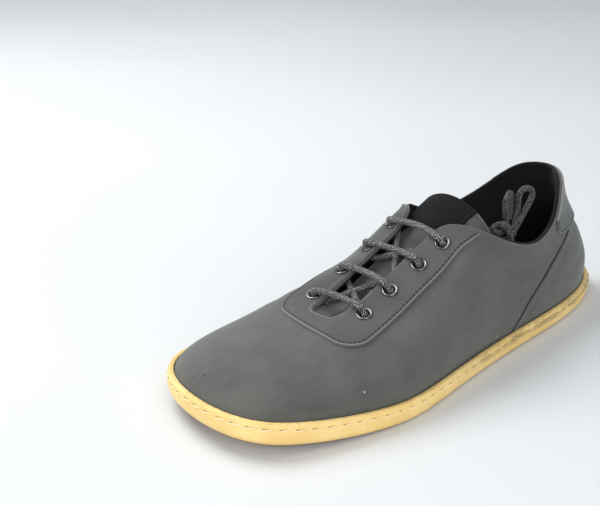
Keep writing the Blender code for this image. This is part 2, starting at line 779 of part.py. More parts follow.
# Nearest spot on the upper to a plan position, on the outer or inner side of the lace throat
def find_spot(x, y, first, last):
    low, high = at_section(first), at_section(last)
    bottom, top = 0.0, 1.0
    for _ in range(SEARCH_ROUNDS):
        around = np.linspace(low, high, SEARCH_STEPS)[:, None]
        up = np.linspace(bottom, top, SEARCH_STEPS)[None, :]
        spots = upper_face(around, up)
        miss = (spots[..., 0] - x) ** 2 + (spots[..., 1] - y) ** 2
        i, j = np.unravel_index(np.argmin(miss), miss.shape)
        span, climb = (high - low) / SEARCH_ZOOM, (top - bottom) / SEARCH_ZOOM
        low, high = around[i, 0] - span, around[i, 0] + span
        bottom, top = max(up[0, j] - climb, 0.0), min(up[0, j] + climb, 1.0)
    return around[i, 0], up[0, j]


# Centre on the upper and outward direction of every eyelet, toe end first
def eyelet_spots():
    spots = []
    for side, first, last in ((1, 9.0, 15.0), (-1, 17.0, 23.0)):
        for row in EYELETS:
            share, spread = row[:2] if side > 0 else row[2:]
            x = side * spread * BALL_WIDTH - SIDE_CENTRE
            around, up = find_spot(x, HALF_LENGTH - share * LENGTH, first, last)
            spots.append((upper_face(around, up), upper_normal(around, up)))
    return spots


EYELET_SPOTS = eyelet_spots()


def frame_of(normal):
    along = np.cross(np.array([0.0, 1.0, 0.0]), normal)
    along /= np.linalg.norm(along)
    return along, np.cross(normal, along)


# Turned ring profile swept round an axis
def turned(profile, spot, normal, sides):
    first, second = frame_of(normal)
    vertices = []
    for radius, height in profile:
        for k in range(sides):
            angle = 2.0 * math.pi * k / sides
            vertices.append(spot + normal * height
                            + (first * math.cos(angle) + second * math.sin(angle)) * radius)
    return vertices, band_faces(sides, len(profile), True)


def build_eyelets(material, group):
    bore = EYELET_BORE * HALF
    barrel = bore + EYELET_WALL
    rim = EYELET_DIAMETER * HALF
    seat = OVERLAY_GAP + FACING_THICKNESS + FIT_GAP
    crown = seat + EYELET_FLANGE
    foot = -UPPER_WALL
    profile = [
        (bore, foot),
        (barrel, foot),
        (barrel, seat),
        (rim - EYELET_ROLL, seat),
        (rim, seat + EYELET_ROLL),
        (rim - EYELET_DISH, crown),
        (bore + EYELET_DISH, crown),
        (bore, crown - EYELET_ROLL),
    ]
    pairs = ["outer", "inner"]
    for number, (spot, normal) in enumerate(EYELET_SPOTS):
        vertices, faces = turned(profile, spot, normal, EYELET_SIDES)
        side, row = divmod(number, len(EYELETS))
        name = "eyelet_" + pairs[side] + "_" + str(row + 1)
        add_mesh(name, vertices, faces, material, group)


# Round pins that cut the eyelet holes
def build_hole_pins(material, cutters):
    vertices, faces = [], []
    radius = EYELET_BORE * HALF + EYELET_WALL + FIT_GAP
    for spot, normal in EYELET_SPOTS:
        first, second = frame_of(normal)
        start = len(vertices)
        for height in (-PIN_REACH, PIN_REACH):
            for k in range(EYELET_SIDES):
                angle = 2.0 * math.pi * k / EYELET_SIDES
                vertices.append(spot + normal * height
                                + (first * math.cos(angle) + second * math.sin(angle)) * radius)
        for k in range(EYELET_SIDES):
            after = (k + 1) % EYELET_SIDES
            faces.append((start + k, start + after, start + EYELET_SIDES + after, start + EYELET_SIDES + k))
        faces.append(tuple(start + k for k in reversed(range(EYELET_SIDES))))
        faces.append(tuple(start + EYELET_SIDES + k for k in range(EYELET_SIDES)))
    pins = add_mesh("hole_pins", vertices, faces, material, cutters)
    hide_cutter(pins)
    return pins


# Smooth route through a few points with even spacing
def smooth_route(points, spacing):
    points = np.asarray(points, float)
    dense = open_curve(points, np.linspace(0.0, len(points) - 1, FINE_STEPS))
    run = np.concatenate([[0.0], np.cumsum(np.linalg.norm(np.diff(dense, axis=0), axis=1))])
    count = max(int(run[-1] / spacing), 6)
    even = np.linspace(0.0, run[-1], count + 1)
    return np.column_stack([np.interp(even, run, dense[:, k]) for k in range(3)])


# Round cord along a route
def add_cord(name, route, diameter, material, group):
    curve = bpy.data.curves.new(name, "CURVE")
    curve.dimensions = "3D"
    curve.bevel_depth = diameter * HALF
    curve.bevel_resolution = 2
    curve.use_fill_caps = True
    line = curve.splines.new("POLY")
    line.points.add(len(route) - 1)
    for point, spot in zip(line.points, route):
        point.co = (*map(float, spot), 1.0)
    curve.materials.append(material)
    body = bpy.data.objects.new(name, curve)
    group.objects.link(body)
    return body


# Round mesh tube along a route, closed at both ends
def tube_mesh(name, route, diameter, material, group):
    tangents = np.gradient(route, axis=0)
    tangents /= np.linalg.norm(tangents, axis=1, keepdims=True)
    side = np.cross(tangents, np.array([0.0, 0.0, 1.0]))
    side /= np.linalg.norm(side, axis=1, keepdims=True)
    other = np.cross(side, tangents)
    rings = []
    for k in range(TUBE_SIDES):
        angle = 2.0 * math.pi * k / TUBE_SIDES
        rings.append(route + (side * math.cos(angle) + other * math.sin(angle)) * diameter * HALF)
    vertices = np.stack(rings, 1).reshape(-1, 3)
    faces = band_faces(TUBE_SIDES, len(route), False)
    faces.append(tuple(reversed(range(TUBE_SIDES))))
    faces.append(tuple((len(route) - 1) * TUBE_SIDES + k for k in range(TUBE_SIDES)))
    return add_mesh(name, vertices, faces, material, group)


# Lace over the throat from one eyelet to the one across from it
def bar_route(row):
    outer_spot, outer_up = EYELET_SPOTS[row]
    inner_spot, inner_up = EYELET_SPOTS[row + len(EYELETS)]
    middle = (outer_spot + inner_spot) * HALF
    reach = outer_spot - inner_spot
    reach /= np.linalg.norm(reach)
    lift = np.array([0.0, 0.0, 1.0])
    half = []
    for spot, normal, inward in ((inner_spot, inner_up, reach), (outer_spot, outer_up, -reach)):
        inward = inward - normal * np.dot(inward, normal)
        inward /= np.linalg.norm(inward)
        half.append([spot + normal * height + inward * shift for height, shift in BAR_TURN])
    over = [middle + reach * shift + lift * BAR_RISE for shift in (-BAR_FLAT, BAR_FLAT)]
    points = half[0] + over + half[1][::-1]
    return smooth_route(points, LACE_DIAMETER)


# Strands under the facing, joined where they touch
def build_crossings(material, parts, cutters):
    strands = []
    for first_side, first_row, second_side, second_row, rise in CROSSINGS:
        first, first_up = EYELET_SPOTS[first_side * len(EYELETS) + first_row]
        second, second_up = EYELET_SPOTS[second_side * len(EYELETS) + second_row]
        start = first - first_up * CROSSING_DEPTH
        end = second - second_up * CROSSING_DEPTH
        lift = np.array([0.0, 0.0, rise])
        middle = (start + end) * HALF + lift
        low = lift * (CROSSING_RISE - HALF)
        points = [start, (start + middle) * HALF + low, middle, (middle + end) * HALF + low, end]
        strands.append(smooth_route(points, LACE_DIAMETER * STRAND_STEP))
    body = tube_mesh("lace_crossings", strands[0], LACE_DIAMETER, material, parts)
    for number, route in enumerate(strands[1:]):
        strand = tube_mesh("strand_" + str(number + 2), route, LACE_DIAMETER, material, cutters)
        hide_cutter(strand)
        apply_boolean(body, strand, "UNION")
    return body


def placed(rows):
    rows = np.array(rows)
    return np.column_stack([rows[:, 0] * BALL_WIDTH - SIDE_CENTRE, HALF_LENGTH - rows[:, 1] * LENGTH,
                            rows[:, 2] * HEEL_HEIGHT])


# Coil of the knot round the two strands where they run side by side
def knot_route():
    outer, inner = placed(LOOP_OUTER), placed(LOOP_INNER)
    first, last = KNOT_STATION, KNOT_STATION + 1
    start = (outer[first] + inner[first]) * HALF
    end = (outer[last] + inner[last]) * HALF
    axis = (end - start) / np.linalg.norm(end - start)
    wide = outer[last] + outer[first] - inner[last] - inner[first]
    wide -= axis * np.dot(wide, axis)
    wide /= np.linalg.norm(wide)
    high = np.cross(axis, wide)
    share = np.linspace(-HALF, HALF, KNOT_POINTS)
    angle = 2.0 * math.pi * KNOT_TURNS * share
    middle = (start + end) * HALF
    return (middle + axis * (share * KNOT_RUN)[:, None] + wide * (KNOT_WIDE * np.cos(angle))[:, None]
            + high * (KNOT_HIGH * np.sin(angle))[:, None])


def main():
    clear_scene()
    parts = make_collection("parts")
    cutters = make_collection("cutters")
    gum = make_material("gum_rubber", (0.78, 0.60, 0.30), 0.55)
    nubuck = make_material("grey_nubuck", (0.13, 0.13, 0.12), 0.9)
    facing_leather = make_material("facing_nubuck", (0.12, 0.12, 0.11), 0.9)
    tab_leather = make_material("heel_tab_nubuck", (0.12, 0.12, 0.11), 0.9)
    tongue_leather = make_material("tongue_leather", (0.12, 0.12, 0.12), 0.85)
    label_cloth = make_material("label_cloth", (0.02, 0.02, 0.02), 0.9)
    insole_cloth = make_material("insole_cloth", (0.03, 0.03, 0.03), 0.95)
    gunmetal = make_material("gunmetal", (0.16, 0.16, 0.17), 0.35, 1.0)
    lace_cotton = make_material("lace_cotton", (0.10, 0.10, 0.10), 0.8)
    build_sole(gum, parts, cutters)
    upper = build_upper(nubuck, parts)
    facing = build_facing(facing_leather, parts)
    build_heel_tab(tab_leather, parts)
    build_tongue(tongue_leather, parts)
    build_label(label_cloth, parts)
    build_insole(insole_cloth, parts)
    pins = build_hole_pins(gunmetal, cutters)
    apply_boolean(upper, pins, "DIFFERENCE")
    apply_boolean(facing, pins, "DIFFERENCE")
    build_eyelets(gunmetal, parts)
    for row in range(len(EYELETS)):
        add_cord("lace_bar_" + str(row + 1), bar_route(row), LACE_DIAMETER, lace_cotton, parts)
    build_crossings(lace_cotton, parts, cutters)
    add_cord("lace_loop_outer", smooth_route(placed(LOOP_OUTER), LACE_DIAMETER * LOOP_STEP), LACE_DIAMETER,
             lace_cotton, parts)
    add_cord("lace_loop_inner", smooth_route(placed(LOOP_INNER), LACE_DIAMETER * LOOP_STEP), LACE_DIAMETER,
             lace_cotton, parts)
    add_cord("lace_knot", knot_route(), LACE_DIAMETER, lace_cotton, parts)


main()
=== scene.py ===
# Lace-up barefoot shoe, left foot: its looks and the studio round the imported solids.
# Metres, +Z up, toe towards -Y, outer side of the foot towards +X.
import math

import bmesh
import bpy
import numpy as np
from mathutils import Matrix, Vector


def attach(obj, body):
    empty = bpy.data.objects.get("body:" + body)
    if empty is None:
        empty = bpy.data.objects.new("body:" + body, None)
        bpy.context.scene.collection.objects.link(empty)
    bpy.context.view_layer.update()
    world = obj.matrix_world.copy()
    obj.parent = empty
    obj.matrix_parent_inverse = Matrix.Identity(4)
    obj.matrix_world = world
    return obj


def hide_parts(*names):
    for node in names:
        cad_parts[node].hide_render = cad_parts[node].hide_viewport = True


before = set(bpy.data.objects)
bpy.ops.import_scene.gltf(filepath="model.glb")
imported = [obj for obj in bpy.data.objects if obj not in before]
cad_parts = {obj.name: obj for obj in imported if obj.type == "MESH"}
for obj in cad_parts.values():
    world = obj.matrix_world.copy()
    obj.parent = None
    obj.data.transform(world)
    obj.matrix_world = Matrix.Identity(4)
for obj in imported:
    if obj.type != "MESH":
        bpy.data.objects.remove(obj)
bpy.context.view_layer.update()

# Densities of the dressed pieces
FINE_STEPS = 600
SEARCH_STEPS = 40
SEARCH_ROUNDS = 5
SEARCH_ZOOM = 12.0
EDGE_WEIGHT = 1.4
KNOT_POINTS = 64
SKIN_COLUMNS = 520
SKIN_RINGS = 82
LINING_RINGS = 34
FACING_COLUMNS = 460
TAB_COLUMNS = 150
TONGUE_ROWS = 90
TONGUE_COLUMNS = 56
LABEL_ROWS = 44
LABEL_COLUMNS = 40
SOLE_COLUMNS = 360
HOLE_SIDES = 40
CORD_SIDES = 32
CORD_STEP = 0.00045

# Driving sizes of the whole shoe
LENGTH = 0.285
BALL_WIDTH = 0.109
HEEL_HEIGHT = 0.0765

# Cup sole
SOLE_WALL = 0.0100
SOLE_FLOOR = 0.0046
TOE_SPRING = 0.0078
HEEL_LIFT = 0.0036
CUP_THICKNESS = 0.0034
GROOVE_DEPTH = 0.0006
LUG_HEIGHT = 0.0012
LUG_LENGTH = 0.0085
LUG_GAP = 0.0035
LUG_INSET = 0.0085
LUG_ROOT = 0.0006

# Cloth and leather thicknesses
UPPER_WALL = 0.0020
FACING_THICKNESS = 0.0012
TAB_THICKNESS = 0.0012
TONGUE_THICKNESS = 0.0026
LABEL_THICKNESS = 0.0005
INSOLE_THICKNESS = 0.0028
FIT_GAP = 0.0003
OVERLAY_GAP = 0.0005

# Eyelets and lace
EYELET_DIAMETER = 0.0088
EYELET_BORE = 0.0046
EYELET_WALL = 0.0004
LACE_DIAMETER = 0.0034
BAR_RISE = 0.0052
BAR_FLAT = 0.0050
PIN_REACH = 0.0050

# Small steps for slopes, as shares of the whole run
OUTLINE_STEP = 1e-4
TURN_STEP = 5e-4
CLIMB_STEP = 2e-3

HALF = 0.5
HALF_LENGTH = LENGTH * HALF
SIDE_CENTRE = -0.0005
UP = np.array([0.0, 0.0, 1.0])

# Shares of LENGTH from the heel: where the underside starts to rise at toe and heel, ends of the lugs
TOE_BEND = 0.68
HEEL_BEND = 0.10
TREAD_START = 0.11
TREAD_END = 0.665
LUG_BLOCKS = (3, 4)

# Side of the cup below and above the stitch groove.
# Columns: inset as share of CUP_THICKNESS, height as share of SOLE_WALL.
CUP_LOW = [
    (1.765, 0.00),
    (0.765, 0.00),
    (0.529, 0.03),
    (0.235, 0.14),
    (0.029, 0.30),
]
CUP_HIGH = [
    (0.294, 0.95),
    (0.441, 1.00),
    (0.941, 1.00),
    (1.000, 0.96),
]
TREAD_EDGE = 1.10
GROOVE_SLOPE = 0.12
GROOVE_HALF = 0.04
GROOVE_TOP = 0.67

# Bend of the hidden lace strands, as a share of their lift
CROSSING_RISE = 0.4

# Turn of the lace out of an eyelet: height above the upper, shift towards the throat
BAR_TURN = [
    (-0.0020, 0.0000),
    (0.0000, 0.0000),
    (0.0021, 0.0000),
    (0.0040, 0.0009),
    (0.0055, 0.0030),
]

# Lace strands that cross under the facing: eyelet rows joined, sides, lift at the middle.
# Columns: first side and row, second side and row (outer side 0, inner side 1), lift.
CROSSINGS = [
    (0, 0, 1, 1, 0.0010),
    (1, 0, 0, 2, 0.0014),
    (0, 1, 1, 3, 0.0018),
    (1, 2, 0, 3, 0.0014),
]
CROSSING_DEPTH = 0.0050

# Loose lace behind the tongue: two strands leave the junction of tongue and collar, run through the knot
# and stand up as loops. Columns: across as share of BALL_WIDTH, along as share of LENGTH from the heel,
# up as share of HEEL_HEIGHT.
LOOP_OUTER = [
    (0.228, 0.383, 0.771),
    (0.217, 0.360, 0.740),
    (0.197, 0.341, 0.711),
    (0.185, 0.324, 0.701),
    (0.181, 0.308, 0.714),
    (0.179, 0.295, 0.758),
    (0.179, 0.284, 0.808),
    (0.179, 0.273, 0.858),
    (0.179, 0.261, 0.907),
    (0.177, 0.251, 0.959),
    (0.173, 0.254, 1.005),
    (0.165, 0.266, 1.022),
    (0.157, 0.276, 1.005),
    (0.153, 0.281, 0.962),
    (0.152, 0.280, 0.907),
    (0.153, 0.281, 0.852),
    (0.154, 0.284, 0.800),
    (0.157, 0.289, 0.750),
]
LOOP_INNER = [
    (0.197, 0.380, 0.830),
    (0.194, 0.365, 0.796),
    (0.181, 0.346, 0.763),
    (0.166, 0.329, 0.749),
    (0.154, 0.315, 0.754),
    (0.148, 0.310, 0.800),
    (0.145, 0.313, 0.855),
    (0.145, 0.314, 0.910),
    (0.143, 0.313, 0.957),
    (0.139, 0.306, 0.991),
    (0.131, 0.298, 1.000),
    (0.123, 0.289, 0.980),
    (0.119, 0.285, 0.939),
    (0.119, 0.285, 0.889),
    (0.121, 0.286, 0.839),
    (0.125, 0.290, 0.790),
]
KNOT_STATION = 2
KNOT_TURNS = 1.6
KNOT_WIDE = 0.0065
KNOT_HIGH = 0.0046
KNOT_RUN = 0.0062

# Sole outline, a row per station from heel to toe.
# Columns: share of LENGTH from the heel, outer and inner half widths as shares of BALL_WIDTH.
OUTLINE = [
    (0.020, 0.156, 0.150),
    (0.070, 0.250, 0.255),
    (0.150, 0.322, 0.308),
    (0.300, 0.378, 0.310),
    (0.450, 0.420, 0.314),
    (0.600, 0.482, 0.400),
    (0.700, 0.512, 0.484),
    (0.800, 0.476, 0.520),
    (0.900, 0.396, 0.484),
    (0.960, 0.302, 0.362),
]
TOE_TIP = -0.075

# Sections of the upper, a row per section round the shoe from the heel by the outer side and the toe.
# Columns: side and share of LENGTH where the section leaves the sole; edge of the opening as shares of
# BALL_WIDTH across, LENGTH from the heel and HEEL_HEIGHT up; then the shape of the wall: rise of the
# steep lower part, swell outwards (share of BALL_WIDTH), reach of the flatter upper part, its fall.
SECTIONS = [
    (0, 0.000, -0.028, 0.087, 0.990, 0.42, 0.030, 0.20, 0.42),
    (1, 0.020, 0.068, 0.106, 0.968, 0.42, 0.030, 0.20, 0.42),
    (1, 0.090, 0.160, 0.147, 0.880, 0.42, 0.026, 0.20, 0.42),
    (1, 0.170, 0.234, 0.198, 0.735, 0.45, 0.022, 0.20, 0.40),
    (1, 0.240, 0.270, 0.254, 0.662, 0.45, 0.018, 0.25, 0.38),
    (1, 0.310, 0.285, 0.307, 0.673, 0.48, 0.016, 0.30, 0.36),
    (1, 0.370, 0.285, 0.367, 0.758, 0.52, 0.014, 0.40, 0.32),
    (1, 0.430, 0.266, 0.412, 0.850, 0.58, 0.014, 0.55, 0.26),
    (1, 0.455, 0.239, 0.435, 0.895, 0.62, 0.014, 0.62, 0.22),
    (1, 0.480, 0.174, 0.461, 0.922, 0.66, 0.014, 0.70, 0.16),
    (1, 0.505, 0.119, 0.481, 0.906, 0.68, 0.014, 0.74, 0.13),
    (1, 0.530, 0.094, 0.507, 0.844, 0.68, 0.014, 0.74, 0.12),
    (1, 0.600, 0.087, 0.570, 0.725, 0.62, 0.014, 0.70, 0.14),
    (1, 0.670, 0.087, 0.633, 0.614, 0.58, 0.012, 0.66, 0.18),
    (1, 0.770, 0.083, 0.685, 0.526, 0.53, 0.008, 0.62, 0.20),
    (1, 0.900, 0.056, 0.718, 0.479, 0.48, 0.004, 0.62, 0.20),
    (0, 1.000, -0.017, 0.727, 0.466, 0.42, 0.000, 0.60, 0.20),
    (-1, 0.910, -0.093, 0.720, 0.465, 0.36, 0.000, 0.56, 0.20),
    (-1, 0.800, -0.118, 0.689, 0.488, 0.42, 0.004, 0.62, 0.17),
    (-1, 0.700, -0.119, 0.623, 0.601, 0.50, 0.008, 0.64, 0.20),
    (-1, 0.600, -0.119, 0.549, 0.732, 0.52, 0.012, 0.62, 0.22),
    (-1, 0.520, -0.124, 0.491, 0.844, 0.68, 0.014, 0.74, 0.12),
    (-1, 0.495, -0.142, 0.467, 0.903, 0.68, 0.014, 0.74, 0.13),
    (-1, 0.470, -0.183, 0.451, 0.919, 0.66, 0.014, 0.70, 0.16),
    (-1, 0.445, -0.239, 0.432, 0.889, 0.62, 0.014, 0.62, 0.22),
    (-1, 0.415, -0.275, 0.402, 0.834, 0.58, 0.014, 0.55, 0.26),
    (-1, 0.360, -0.294, 0.353, 0.758, 0.52, 0.014, 0.40, 0.32),
    (-1, 0.300, -0.294, 0.290, 0.732, 0.48, 0.016, 0.30, 0.36),
    (-1, 0.235, -0.275, 0.226, 0.778, 0.45, 0.018, 0.25, 0.38),
    (-1, 0.170, -0.243, 0.167, 0.869, 0.42, 0.022, 0.20, 0.40),
    (-1, 0.090, -0.183, 0.127, 0.960, 0.42, 0.026, 0.20, 0.42),
    (-1, 0.020, -0.112, 0.099, 0.990, 0.42, 0.030, 0.20, 0.42),
]

# Lace facing seen from above: a rounded tongue shape round the lace throat, narrower towards the ankle,
# its front end bowed with the foremost spot on the outer side
FACING_FIRST = 8.0
FACING_LAST = 24.0
FACING_HALF_WIDTH = 0.287
FACING_END = 0.7716
FACING_CORNER = 0.105
FACING_PEAK = 0.078
FACING_BOW = 0.6
FACING_TAPER = 0.04
FACING_SEARCH = (0.985, 0.2)

# Depth of the heel tab below the collar edge, as shares of BALL_WIDTH.
# Columns: section number counted from the heel, inner side negative; depth.
TAB_DEPTH = [
    (-3.00, 0.060),
    (-2.80, 0.120),
    (-2.40, 0.165),
    (-2.00, 0.205),
    (-1.00, 0.262),
    (0.00, 0.270),
    (1.00, 0.258),
    (2.00, 0.196),
    (2.50, 0.138),
    (2.80, 0.100),
    (2.95, 0.064),
]

# Tongue, a row per station from its root under the vamp to its free end.
# Columns: share of LENGTH from the heel, height of its crown as share of HEEL_HEIGHT,
# half width as share of BALL_WIDTH, fall of its sides as share of HEEL_HEIGHT.
TONGUE = [
    (0.742, 0.428, 0.130, 0.045),
    (0.712, 0.438, 0.150, 0.055),
    (0.675, 0.442, 0.168, 0.070),
    (0.623, 0.508, 0.180, 0.085),
    (0.549, 0.636, 0.196, 0.105),
    (0.480, 0.782, 0.208, 0.145),
    (0.447, 0.894, 0.218, 0.190),
    (0.423, 0.985, 0.240, 0.252),
    (0.408, 1.035, 0.252, 0.292),
]

# Rows of eyelets from the toe end upwards. Columns for the outer, then the inner side:
# share of LENGTH from the heel, distance from the middle as share of BALL_WIDTH.
EYELETS = [
    (0.688, 0.163, 0.689, 0.168),
    (0.626, 0.161, 0.621, 0.164),
    (0.559, 0.170, 0.557, 0.161),
    (0.504, 0.182, 0.496, 0.161),
]


# Vectors brought to length 1
def unit(vectors):
    return vectors / np.linalg.norm(vectors, axis=-1, keepdims=True)


# Length of the way from the first of a line of points to each of them
def run_along(points):
    return np.concatenate([[0.0], np.cumsum(np.linalg.norm(np.diff(points, axis=0), axis=1))])


# The same for every row of a grid of points
def runs_across(grid):
    run = np.linalg.norm(np.diff(grid, axis=1), axis=2)
    return np.concatenate([np.zeros((len(run), 1)), np.cumsum(run, axis=1)], axis=1)


# Columns of a table read at new places along it
def read_at(places, run, table):
    return np.column_stack([np.interp(places, run, column) for column in np.transpose(table)])


# Place in metres from shares of BALL_WIDTH across and of LENGTH from the heel
def plan_spot(across, along):
    return across * BALL_WIDTH - SIDE_CENTRE, HALF_LENGTH - along * LENGTH


# Periodic cubic spline through rows of values at given knots
def loop_spline(knots, rows):
    rows = np.asarray(rows, float)
    knots = np.asarray(knots, float)
    count = len(rows)
    steps = np.diff(knots)
    before = np.roll(steps, 1)
    matrix = np.zeros((count, count))
    index = np.arange(count)
    matrix[index, index] = 2.0 * (before + steps)
    matrix[index, (index + 1) % count] += steps
    matrix[index, (index - 1) % count] += before
    rises = (np.roll(rows, -1, 0) - rows) / steps[:, None]
    bends = np.linalg.solve(matrix, 6.0 * (rises - np.roll(rises, 1, 0)))

    def evaluate(values):
        values = knots[0] + np.mod(np.asarray(values, float) - knots[0], knots[-1] - knots[0])
        low = np.clip(np.searchsorted(knots, values, side="right") - 1, 0, count - 1)
        high = (low + 1) % count
        step = steps[low]
        part = ((values - knots[low]) / step)[..., None]
        rest = 1.0 - part
        curve = (rest ** 3 - rest) * bends[low] + (part ** 3 - part) * bends[high]
        return rest * rows[low] + part * rows[high] + curve * (step ** 2 / 6.0)[..., None]

    return evaluate


# Open smooth curve through a few rows, by a cubic between rows with rounded tangents
def open_curve(rows, values):
    rows = np.asarray(rows, float)
    values = np.asarray(values, float)
    slopes = np.gradient(rows, axis=0)
    low = np.clip(np.floor(values).astype(int), 0, len(rows) - 2)
    part = (values - low)[..., None]
    a, b = rows[low], rows[low + 1]
    da, db = slopes[low], slopes[low + 1]
    square, cube = part ** 2, part ** 3
    return (a * (2 * cube - 3 * square + 1) + da * (cube - 2 * square + part)
            + b * (3 * square - 2 * cube) + db * (cube - square))


def closed_knots(points):
    steps = np.linalg.norm(np.roll(points, -1, 0) - points, axis=1)
    return np.concatenate([[0.0], np.cumsum(steps)])


# Plan outline of the sole as one closed loop, heel first, then the outer side
def outline_points():
    outer = [plan_spot(right, share) for share, right, left in OUTLINE]
    inner = [plan_spot(-left, share) for share, right, left in OUTLINE]
    return np.array([plan_spot(0.0, 0.0)] + outer + [plan_spot(TOE_TIP, 1.0)] + inner[::-1])


OUTLINE_POINTS = outline_points()
OUTLINE_KNOTS = closed_knots(OUTLINE_POINTS)
OUTLINE_CURVE = loop_spline(OUTLINE_KNOTS, OUTLINE_POINTS)
OUTLINE_LENGTH = OUTLINE_KNOTS[-1]
TOE_KNOT = OUTLINE_KNOTS[len(OUTLINE) + 1]


def outline_inset(values, inset):
    step = OUTLINE_LENGTH * OUTLINE_STEP
    here = OUTLINE_CURVE(values)
    tangent = unit(OUTLINE_CURVE(values + step) - OUTLINE_CURVE(values - step))
    normal = np.stack([tangent[..., 1], -tangent[..., 0]], -1)
    return here + normal * inset


# Height of the underside above the floor along the shoe
def underside(y):
    share = HALF - y / LENGTH
    toe = np.clip((share - TOE_BEND) / (1.0 - TOE_BEND), 0.0, 1.0)
    heel = np.clip(1.0 - share / HEEL_BEND, 0.0, 1.0)
    return TOE_SPRING * toe ** 2 + HEEL_LIFT * heel ** 2


def ring(values, inset, lift):
    plan = outline_inset(values, inset)
    return np.column_stack([plan, underside(plan[:, 1]) + lift])


def foot_value(side, share):
    level = HALF_LENGTH - share * LENGTH
    dense = np.linspace(OUTLINE_LENGTH if side < 0 else 0.0, TOE_KNOT, FINE_STEPS)
    if side == 0:
        return TOE_KNOT if share > HALF else 0.0
    return float(np.interp(-level, -OUTLINE_CURVE(dense)[:, 1], dense))


# Points in metres from rows of shares of BALL_WIDTH, LENGTH and HEEL_HEIGHT
def placed(rows):
    return np.array([(*plan_spot(across, along), up * HEEL_HEIGHT) for across, along, up in rows])


# Table of sections turned into smooth loops over one running value
def section_loops():
    feet = np.array([foot_value(row[0], row[1]) for row in SECTIONS])
    edges = placed([row[2:5] for row in SECTIONS])
    feet_plan = OUTLINE_CURVE(feet)
    top_steps = np.linalg.norm(np.roll(edges, -1, 0) - edges, axis=1)
    foot_steps = np.linalg.norm(np.roll(feet_plan, -1, 0) - feet_plan, axis=1)
    knots = np.concatenate([[0.0], np.cumsum(HALF * (top_steps + foot_steps))])
    drift = feet - knots[:-1] * OUTLINE_LENGTH / knots[-1]
    shapes = np.array([row[5:] for row in SECTIONS])
    columns = np.column_stack([drift, edges, shapes])
    return knots, loop_spline(knots, columns)


SECTION_KNOTS, SECTION_CURVE = section_loops()
SECTION_TOTAL = SECTION_KNOTS[-1]
UPPER_INSET = CUP_THICKNESS + FIT_GAP


# Running value at a section number, which may be a fraction or negative
def at_section(number):
    count = len(SECTIONS)
    number = np.asarray(number, float)
    turns = np.floor(number / count)
    return np.interp(number - turns * count, np.arange(count + 1), SECTION_KNOTS) + turns * SECTION_TOTAL


# Outer face of the upper: running value round the shoe, share of the way from sole to opening
def upper_face(around, up):
    around, up = np.broadcast_arrays(np.asarray(around, float), np.asarray(up, float))
    row = SECTION_CURVE(around)
    foot_at = row[..., 0] + np.mod(around, SECTION_TOTAL) * OUTLINE_LENGTH / SECTION_TOTAL
    plan = outline_inset(foot_at, UPPER_INSET)
    foot = np.concatenate([plan, (underside(plan[..., 1]) + SOLE_WALL)[..., None]], -1)
    edge = row[..., 1:4]
    rise, swell, reach, fall = (row[..., 4 + k][..., None] for k in range(4))
    across = edge - foot
    height = across[..., 2:3]
    flat = across * np.array([1.0, 1.0, 0.0])
    outward = outline_inset(foot_at, 0.0) - plan
    outward = np.concatenate([outward, np.zeros_like(outward[..., :1])], -1) / UPPER_INSET
    low = foot + outward * swell * BALL_WIDTH + UP * height * rise
    high = edge - flat * reach - UP * height * fall
    part = up[..., None]
    rest = 1.0 - part
    return rest ** 3 * foot + 3 * rest ** 2 * part * low + 3 * rest * part ** 2 * high + part ** 3 * edge


def upper_normal(around, up):
    turn = SECTION_TOTAL * TURN_STEP
    up = np.asarray(up, float)
    above = np.minimum(up + CLIMB_STEP, 1.0)
    below = np.maximum(up - CLIMB_STEP, 0.0)
    along = upper_face(around + turn, up) - upper_face(around - turn, up)
    upward = upper_face(around, above) - upper_face(around, below)
    return unit(np.cross(upward, along))


# Share of the way up that lies a given distance below the opening edge
def share_below_edge(around, depth):
    shares = np.linspace(1.0, 0.0, FINE_STEPS)
    spots = upper_face(np.asarray(around)[:, None], shares[None, :])
    return np.array([np.interp(d, run, shares) for d, run in zip(depth, runs_across(spots))])


def smooth_depths(table, numbers):
    rows = np.array(table)
    spots = np.interp(numbers, rows[:, 0], np.arange(len(rows)))
    return open_curve(rows[:, 1:], spots)[:, 0] * BALL_WIDTH


# How far a plan position lies outside the outline of the facing
def outside_facing(spots):
    corner = FACING_CORNER * BALL_WIDTH
    across = spots[..., 0] + SIDE_CENTRE
    bow = FACING_BOW * (across - FACING_PEAK * BALL_WIDTH) ** 2 / BALL_WIDTH
    behind = spots[..., 1] - HALF_LENGTH + FACING_END * LENGTH - bow
    wide = FACING_HALF_WIDTH * BALL_WIDTH - FACING_TAPER * behind - corner
    aside = np.maximum(np.abs(across) - wide, 0.0)
    ahead = np.maximum(corner - behind, 0.0)
    return np.hypot(aside, ahead) - corner


# Bow of the tongue across its width, shift of its middle and curve of its free end
TONGUE_BOW_SHARE = 0.94
TONGUE_SHIFT = 0.010
TONGUE_END_CURVE = 0.006
FULL_BOW = 1.0 - math.sqrt(1.0 - TONGUE_BOW_SHARE ** 2)

# Cloth label on the tongue: first and last station, inner and outer side
LABEL_STATIONS = (5.5, 7.9)
LABEL_SIDES = (-0.92, 0.60)


